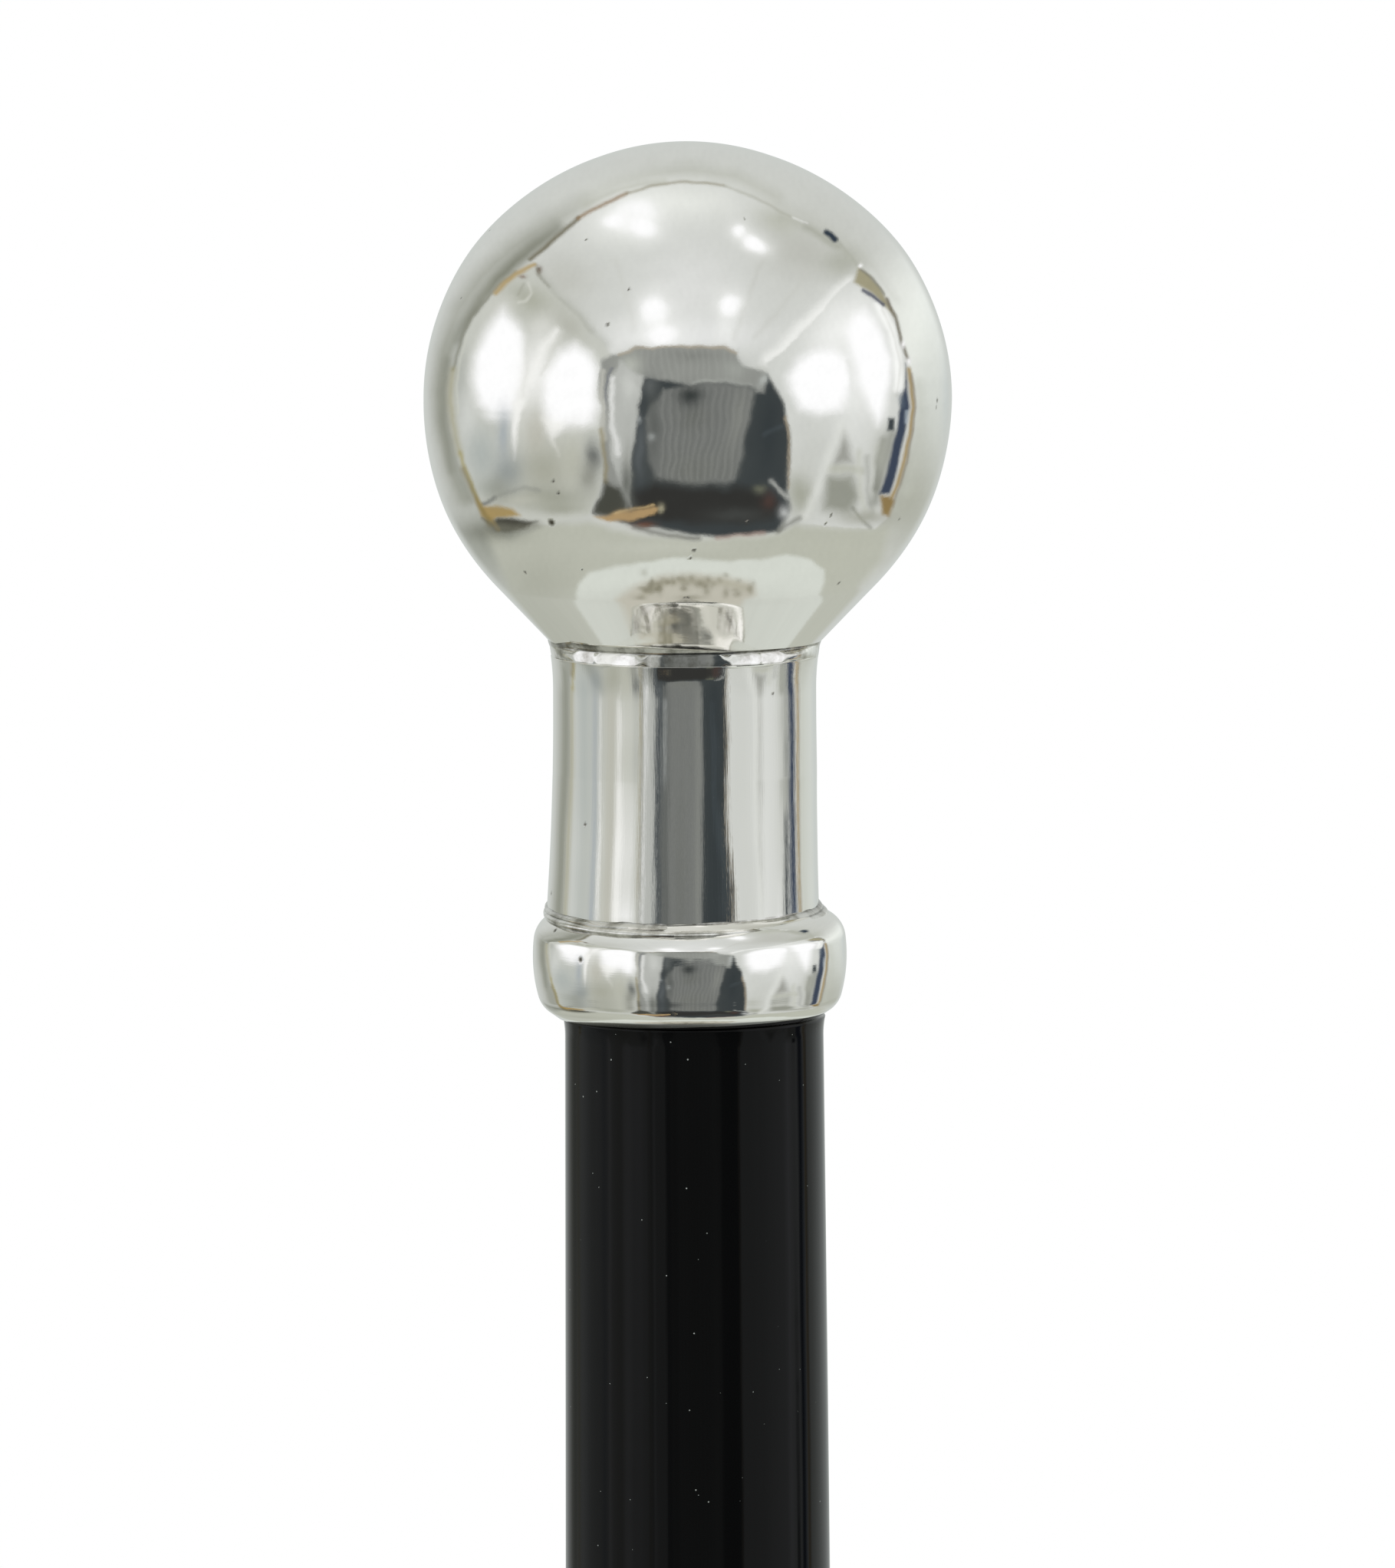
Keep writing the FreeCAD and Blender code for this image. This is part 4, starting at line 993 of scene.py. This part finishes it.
# The right cloth: two lamps, with grey folds below them
doorway_right = [
    (1140, 690), (1090, 688), (1040, 680), (1022, 690), (1030, 640), (1030, 560), (1016, 510),
]
right_cloth_layers = [
    (panel, "CFD1CC", curved(right_edge) + doorway_right + right_fold, 1.8),
    (glow, "F2F3F0", 1100, 430, 54, 34, 0.95, -42),
    (glow, "EDEEEB", 1112, 500, 40, 60, 0.8),
    (panel, "FFFFFF", [
        (1040, 470), (1060, 459), (1085, 456), (1102, 466), (1110, 490), (1106, 515), (1096, 532),
        (1070, 541), (1045, 533), (1030, 512), (1028, 490),
    ], 12),
    (panel, "FFFFFF", [
        (1042, 478), (1070, 466), (1098, 476), (1102, 500), (1088, 526), (1056, 530), (1036, 506),
    ], 8),
    (panel, "FFFFFF", [
        (1112, 410), (1126, 404), (1140, 416), (1153, 440), (1161, 470), (1159, 505), (1151, 540),
        (1143, 552), (1134, 532), (1121, 500), (1110, 460), (1105, 430),
    ], 10),
    (panel, "FFFFFF", [
        (1120, 416), (1142, 432), (1154, 470), (1150, 510), (1142, 530), (1124, 485), (1113, 440),
    ], 7),
    (strip, "DFE1DD", [(1108, 470), (1111, 500), (1112, 545)], 4, 5, 0.6),
    (strip, "F8F9F6", [(1146, 398), (1162, 430), (1170, 462), (1171, 505)], 12, 5),
    (strip, "C3C4BD", [(1150, 404), (1166, 440), (1173, 475), (1171, 515)], 2.5, 3, 0.5),
    (glow, "C6C8C2", 1062, 585, 24, 36, 0.8),
    (glow, "9EA092", 1044, 645, 18, 28, 0.9),
    (panel, "9C9D96", [(1100, 562), (1113, 604), (1083, 608)], 9),
    (panel, "8F9186", [(1078, 620), (1110, 618), (1120, 648), (1108, 670), (1072, 664)], 11, 0.95),
    (strip, "B4B6A9", [(1080, 612), (1122, 612)], 8, 4, 0.8),
    (strip, "DDDFD9", [(1098, 556), (1080, 600), (1062, 645), (1050, 672)], 8, 9, 0.75),
    (strip, "C2C4BA", [(1122, 590), (1120, 640), (1132, 672)], 7, 5, 0.8),
    (strip, "DCDED7", [(1145, 580), (1137, 630), (1141, 668)], 6, 4, 0.8),
    (strip, "8E9087", [(1131, 596), (1130, 640), (1138, 668)], 5, 6, 0.6),
    (strip, "7E8077", [(1153, 574), (1146, 600), (1141, 636)], 8, 6, 0.75),
    (strip, "86887E", [(1112, 662), (1126, 680), (1136, 687)], 4, 3, 0.8),
    (strip, "74766B", [(1162, 566), (1156, 596), (1148, 626), (1141, 655)], 12, 8, 0.7),
    (glow, "9A9B8E", 1128, 674, 36, 11, 0.75),
    (glow, "A5A79C", 1148, 590, 12, 26, 0.6),
    (panel, "3E4447", [(1157, 545), (1166, 544), (1165, 562), (1157, 563)], 2.5),
    (panel, "9F9A80", [
        (1120, 350), (1134, 360), (1148, 376), (1160, 396), (1166, 412), (1156, 402), (1144, 388),
        (1130, 378), (1114, 368),
    ], 3.5),
    (strip, "66665A", [(1122, 352), (1138, 364), (1153, 382)], 3, 2.5, 0.7),
    (strip, "383D52", [(1126, 378), (1138, 386), (1151, 397)], 5, 2.5, 0.9),
    (strip, "6B6454", curved(right_edge[2:6]), 4, 2.5, 0.9),
    (glow, "FFFFFF", 1178, 448, 2.5, 5, 0.9),
    (glow, "FFFFFF", 1184, 470, 3, 4, 0.9),
    (panel, "3D4656", [
        (1181, 474), (1184, 500), (1185, 516), (1185, 532), (1181, 560), (1175, 590), (1168, 620),
        (1160, 645), (1148, 643), (1156, 615), (1163, 588), (1168, 560), (1173, 530), (1180, 505),
    ], 3),
    (strip, "A3AEB6", [(1182, 534), (1181, 552)], 4, 3, 0.7),
    (glow, "5C6874", 1176, 522, 4, 12, 0.6),
    (strip, "A18E66", [
        (1185, 480), (1189, 500), (1190, 516), (1190, 532), (1187, 560), (1181, 594), (1171, 630),
        (1161, 656),
    ], 5, 3),
    (strip, "6F6454", [
        (1188, 488), (1192, 508), (1193, 530), (1190, 560), (1183, 600), (1173, 636), (1163, 662),
    ], 2.5, 2.5, 0.6),
    (panel, "8C7850", [(1148, 646), (1160, 648), (1167, 652), (1160, 673), (1150, 669)], 4),
]
paint(right_cloth_layers)

# The doorway: a grey curtain over it, a pale flap tied back, and the dark room beyond
curtain_layers = [
    (panel, "8F918C", [
        (784, 471), (798, 463), (808, 464), (829, 456), (888, 451), (943, 454), (960, 461), (970, 478),
        (991, 485), (1000, 487), (1015, 509), (1026, 544), (1030, 585), (1028, 637), (1031, 664),
        (1017, 695), (991, 696), (936, 702), (881, 695), (836, 687), (802, 680), (771, 669), (781, 650),
        (788, 623), (784, 568), (783, 516), (781, 489),
    ], 3.5),
    (glow, "B2B5AC", 822, 475, 15, 13, 0.9),
    (glow, "7B7D78", 905, 464, 34, 9, 0.6),
    (glow, "9FA29C", 958, 482, 16, 14, 0.7),
]
paint(curtain_layers)
for fold in range(16):
    strip("A5A8A2", [(826 + 9 * fold, 456), (830 + 9 * fold, 500)], 2, 2.5, 0.25)
opening_layers = [
    (strip, "97896F", [(808, 464), (829, 456), (888, 451), (943, 454), (960, 461)], 3, 2.5, 0.7),
    (panel, "3C4142", [
        (838, 493), (862, 494), (905, 503), (943, 499), (977, 503), (989, 512), (997, 512), (1001, 488),
        (1015, 509), (1025, 544), (1028, 585), (1027, 637), (1028, 664), (1014, 692), (990, 694),
        (936, 699), (881, 692), (836, 685), (812, 682), (800, 676), (818, 664), (821, 640), (824, 600),
        (829, 548), (836, 512),
    ], 4),
    (glow, "2F3538", 1004, 560, 12, 44, 0.45),
    (glow, "606464", 848, 504, 9, 13, 0.8),
    (glow, "5C6163", 836, 584, 7, 34, 0.8),
    (panel, "737572", [
        (864, 508), (905, 502), (943, 499), (977, 504), (984, 512), (981, 540), (970, 578), (958, 628),
        (933, 633), (888, 630), (857, 625), (848, 600), (843, 575), (841, 545),
    ], 5),
    (glow, "888A84", 963, 545, 11, 44, 0.7, 12),
    (glow, "63655F", 905, 545, 20, 16, 0.5),
    (glow, "72746D", 905, 610, 40, 20, 0.5),
    (glow, "575A57", 852, 555, 9, 50, 0.7),
]
paint(opening_layers)
for fold in range(13):
    top, foot = 866 + 9.6 * fold, 862 + 8 * fold
    strip("8F918C", [(top, 506), ((top + foot) / 2 + 1, 565), (foot, 624)], 2, 2.2, 0.32)
    strip("5C5F5B", [(top + 4, 506), ((top + foot) / 2 + 5, 565), (foot + 4, 624)], 2, 2.2, 0.3)
doorway_trim = [
    (glow, "343837", 902, 517, 16, 14, 0.95),
    (strip, "AAADA7", [(905, 499), (943, 496), (980, 502)], 3, 3, 0.6),
    (panel, "323230", [
        (824, 642), (857, 629), (900, 636), (933, 638), (958, 634), (1000, 642), (1016, 655), (1008, 676),
        (960, 684), (880, 680), (835, 676),
    ], 9),
    (panel, "B4B6B1", [
        (806, 470), (822, 480), (838, 492), (834, 512), (828, 548), (823, 600), (819, 640), (822, 662),
        (816, 654), (806, 632), (797, 600), (794, 560), (795, 515), (800, 485),
    ], 3.5),
    (glow, "CACCC7", 820, 504, 9, 20, 0.8),
    (glow, "94968F", 817, 610, 6, 36, 0.7),
    (strip, "E3E4E1", [(801, 492), (797, 520), (799, 556), (806, 590)], 6, 4, 0.8),
    (strip, "6C7079", [(797, 478), (790, 505), (789, 538)], 2.5, 2, 0.7),
    (strip, "C2C2B9", [(786, 482), (784, 520), (787, 570)], 6, 4, 0.8),
    (strip, "8F8664", [(784, 560), (788, 600), (790, 630)], 5, 3.5, 0.7),
    (panel, "464740", [
        (790, 628), (806, 636), (815, 655), (818, 668), (795, 672), (774, 668), (782, 652),
    ], 5),
    (panel, "AC9168", [
        (774, 673), (800, 669), (830, 664), (850, 660), (858, 662), (852, 671), (820, 680), (795, 680),
    ], 3),
    (strip, "DCC08C", [(802, 669), (830, 663), (852, 659)], 2, 2, 0.8),
    (glow, "6B4838", 838, 684, 14, 5, 0.8),
    (glow, "A9A48A", 859, 664, 4, 5, 0.8),
    (glow, "707260", 990, 638, 8, 5, 0.7),
    (glow, "444644", 960, 672, 40, 10, 0.8),
    (strip, "B9BBB5", [(1005, 628), (1016, 638), (1027, 650)], 4, 3, 0.8),
    (glow, "C4C6C4", 1022, 668, 6, 8, 0.8),
    (glow, "55403A", 1004, 652, 9, 10, 0.6),
    (glow, "B4B8B4", 996, 496, 5, 10, 0.8, 30),
    (strip, "4A5256", [(996, 566), (1020, 556)], 3, 4, 0.6),
    (glow, "A0A5A4", 832, 546, 3, 5, 0.7),
    (glow, "A0A4A2", 851, 572, 5, 4, 0.6),
    (strip, "978A74", [(1025, 544), (1029, 585), (1028, 637)], 3, 2.5, 0.8),
    (strip, "A48B80", [(936, 701), (965, 699), (996, 694)], 5, 4, 0.6),
    (strip, "5A5A50", [(1016, 694), (1026, 684), (1042, 675)], 5, 5, 0.7),
    (strip, "5A5A52", [(828, 688), (850, 695), (880, 699), (910, 701)], 5, 5, 0.8),
    (glow, "595C56", 816, 630, 8, 22, 0.8),
    (glow, "4C4D47", 824, 656, 9, 12, 0.5),
]
paint(doorway_trim)

cloth *= (1 + 0.006 * waver(24, 3) + 0.006 * waver(6, 4))[:, None]

# Straight behind the stick the cloth is plain, where all of the knob's rim would show it
rim = np.hypot(u, v)
plain_from, plain_by = 0.972, 0.9985
plain = eased((rim - plain_from) / (plain_by - plain_from))[:, None]
behind = cloth[(rim > plain_from) & (rim < 0.99)].mean(axis=0)
cloth = cloth * (1 - plain) + behind * plain

silver_white = np.array(colour("F8F6F0")[:3])
dome_faces = []
rows, sectors = len(radii), len(angles)
for row in range(rows - 1):
    for sector in range(sectors):
        after = (sector + 1) % sectors
        here, outer = row * sectors, (row + 1) * sectors
        dome_faces.append((here + sector, here + after, outer + after, outer + sector))
dome_faces.append(tuple(range(sectors)))
dome_faces.append(tuple(range((rows - 1) * sectors, rows * sectors)))
dome_mesh = bpy.data.meshes.new("tent")
tent_radius = 20
tent_places = outward * tent_radius + np.array(knob_at)
dome_mesh.from_pydata([tuple(place) for place in tent_places], [], dome_faces)
dome_colours = dome_mesh.color_attributes.new("cloth", "FLOAT_COLOR", "POINT")
dome_colours.data.foreach_set(
    "color", np.hstack([cloth / silver_white, np.ones((len(X), 1))]).ravel()
)
tent = bpy.data.objects.new("tent", dome_mesh)
bpy.context.scene.collection.objects.link(tent)
fabric = bpy.data.materials.new("lit white cloth")
fabric.use_nodes = True
tree = fabric.node_tree
tree.nodes.remove(tree.nodes["Principled BSDF"])
woven = add(tree, "Attribute", attribute_name="cloth").outputs["Color"]
light = add(tree, "Emission", {"Color": woven, "Strength": 1})
tree.links.new(light.outputs["Emission"], tree.nodes["Material Output"].inputs["Surface"])
fabric.cycles.emission_sampling = "NONE"
dome_mesh.materials.append(fabric)
tent.visible_camera = False
tent.visible_shadow = False

# The floor: a round sheet of matt paper, with 1.1 mm fibres, that glares white far off
floor_radius, floor_steps, fibre = 9, 128, 1.1111
floor_turns = [2 * math.pi * step / floor_steps for step in range(floor_steps)]
floor_mesh = bpy.data.meshes.new("floor")
floor_mesh.from_pydata([
    (floor_radius * math.cos(turn), floor_radius * math.sin(turn), 0) for turn in floor_turns
], [], [tuple(range(floor_steps))])
floor = bpy.data.objects.new("floor", floor_mesh)
bpy.context.scene.collection.objects.link(floor)
paper, tree, shader = finish_named("matt white paper")
where = add(tree, "TexCoord").outputs["Object"]
fibres = add(tree, "TexNoise", {"Vector": where, "Scale": 1000 / fibre, "Detail": 3})
bump = add(tree, "Bump", {"Height": fibres.outputs["Fac"], "Strength": 0.05, "Distance": 0.0002})
tree.links.new(bump.outputs["Normal"], shader.inputs["Normal"])
shader.inputs["Base Color"].default_value = colour("F2F2EF")
shader.inputs["Roughness"].default_value = 0.9
distance = add(tree, "VectorMath", {0: where}, operation="LENGTH")
far = add(tree, "MapRange", {
    "Value": distance.outputs["Value"], "From Min": 0.7, "From Max": 4.5,
}, interpolation_type="SMOOTHSTEP")
glare = add(tree, "Emission", {"Color": (1, 1, 1, 1), "Strength": 1})
fading = add(tree, "MixShader", {
    0: far.outputs["Result"], 1: shader.outputs["BSDF"], 2: glare.outputs["Emission"],
})
tree.links.new(fading.outputs["Shader"], tree.nodes["Material Output"].inputs["Surface"])
floor_mesh.materials.append(paper)
floor.visible_glossy = False

lamp = bpy.data.objects.new("soft lamp", bpy.data.lights.new("soft lamp", "AREA"))
bpy.context.scene.collection.objects.link(lamp)
lamp.location = (-1.6, -1.5, 2.6)
lamp.rotation_euler = Vector((1.6, 1.5, -2.2)).to_track_quat("-Z", "Y").to_euler()
lamp.data.shape = "DISK"
lamp.data.size = 1.2
lamp.data.energy = 40
lamp.visible_glossy = False

world = bpy.data.worlds.new("white room")
world.use_nodes = True
world.node_tree.nodes["Background"].inputs["Color"].default_value = (1, 1, 1, 1)
bpy.context.scene.world = world
bpy.context.scene.view_settings.view_transform = "Standard"
bpy.context.scene.view_settings.look = "None"
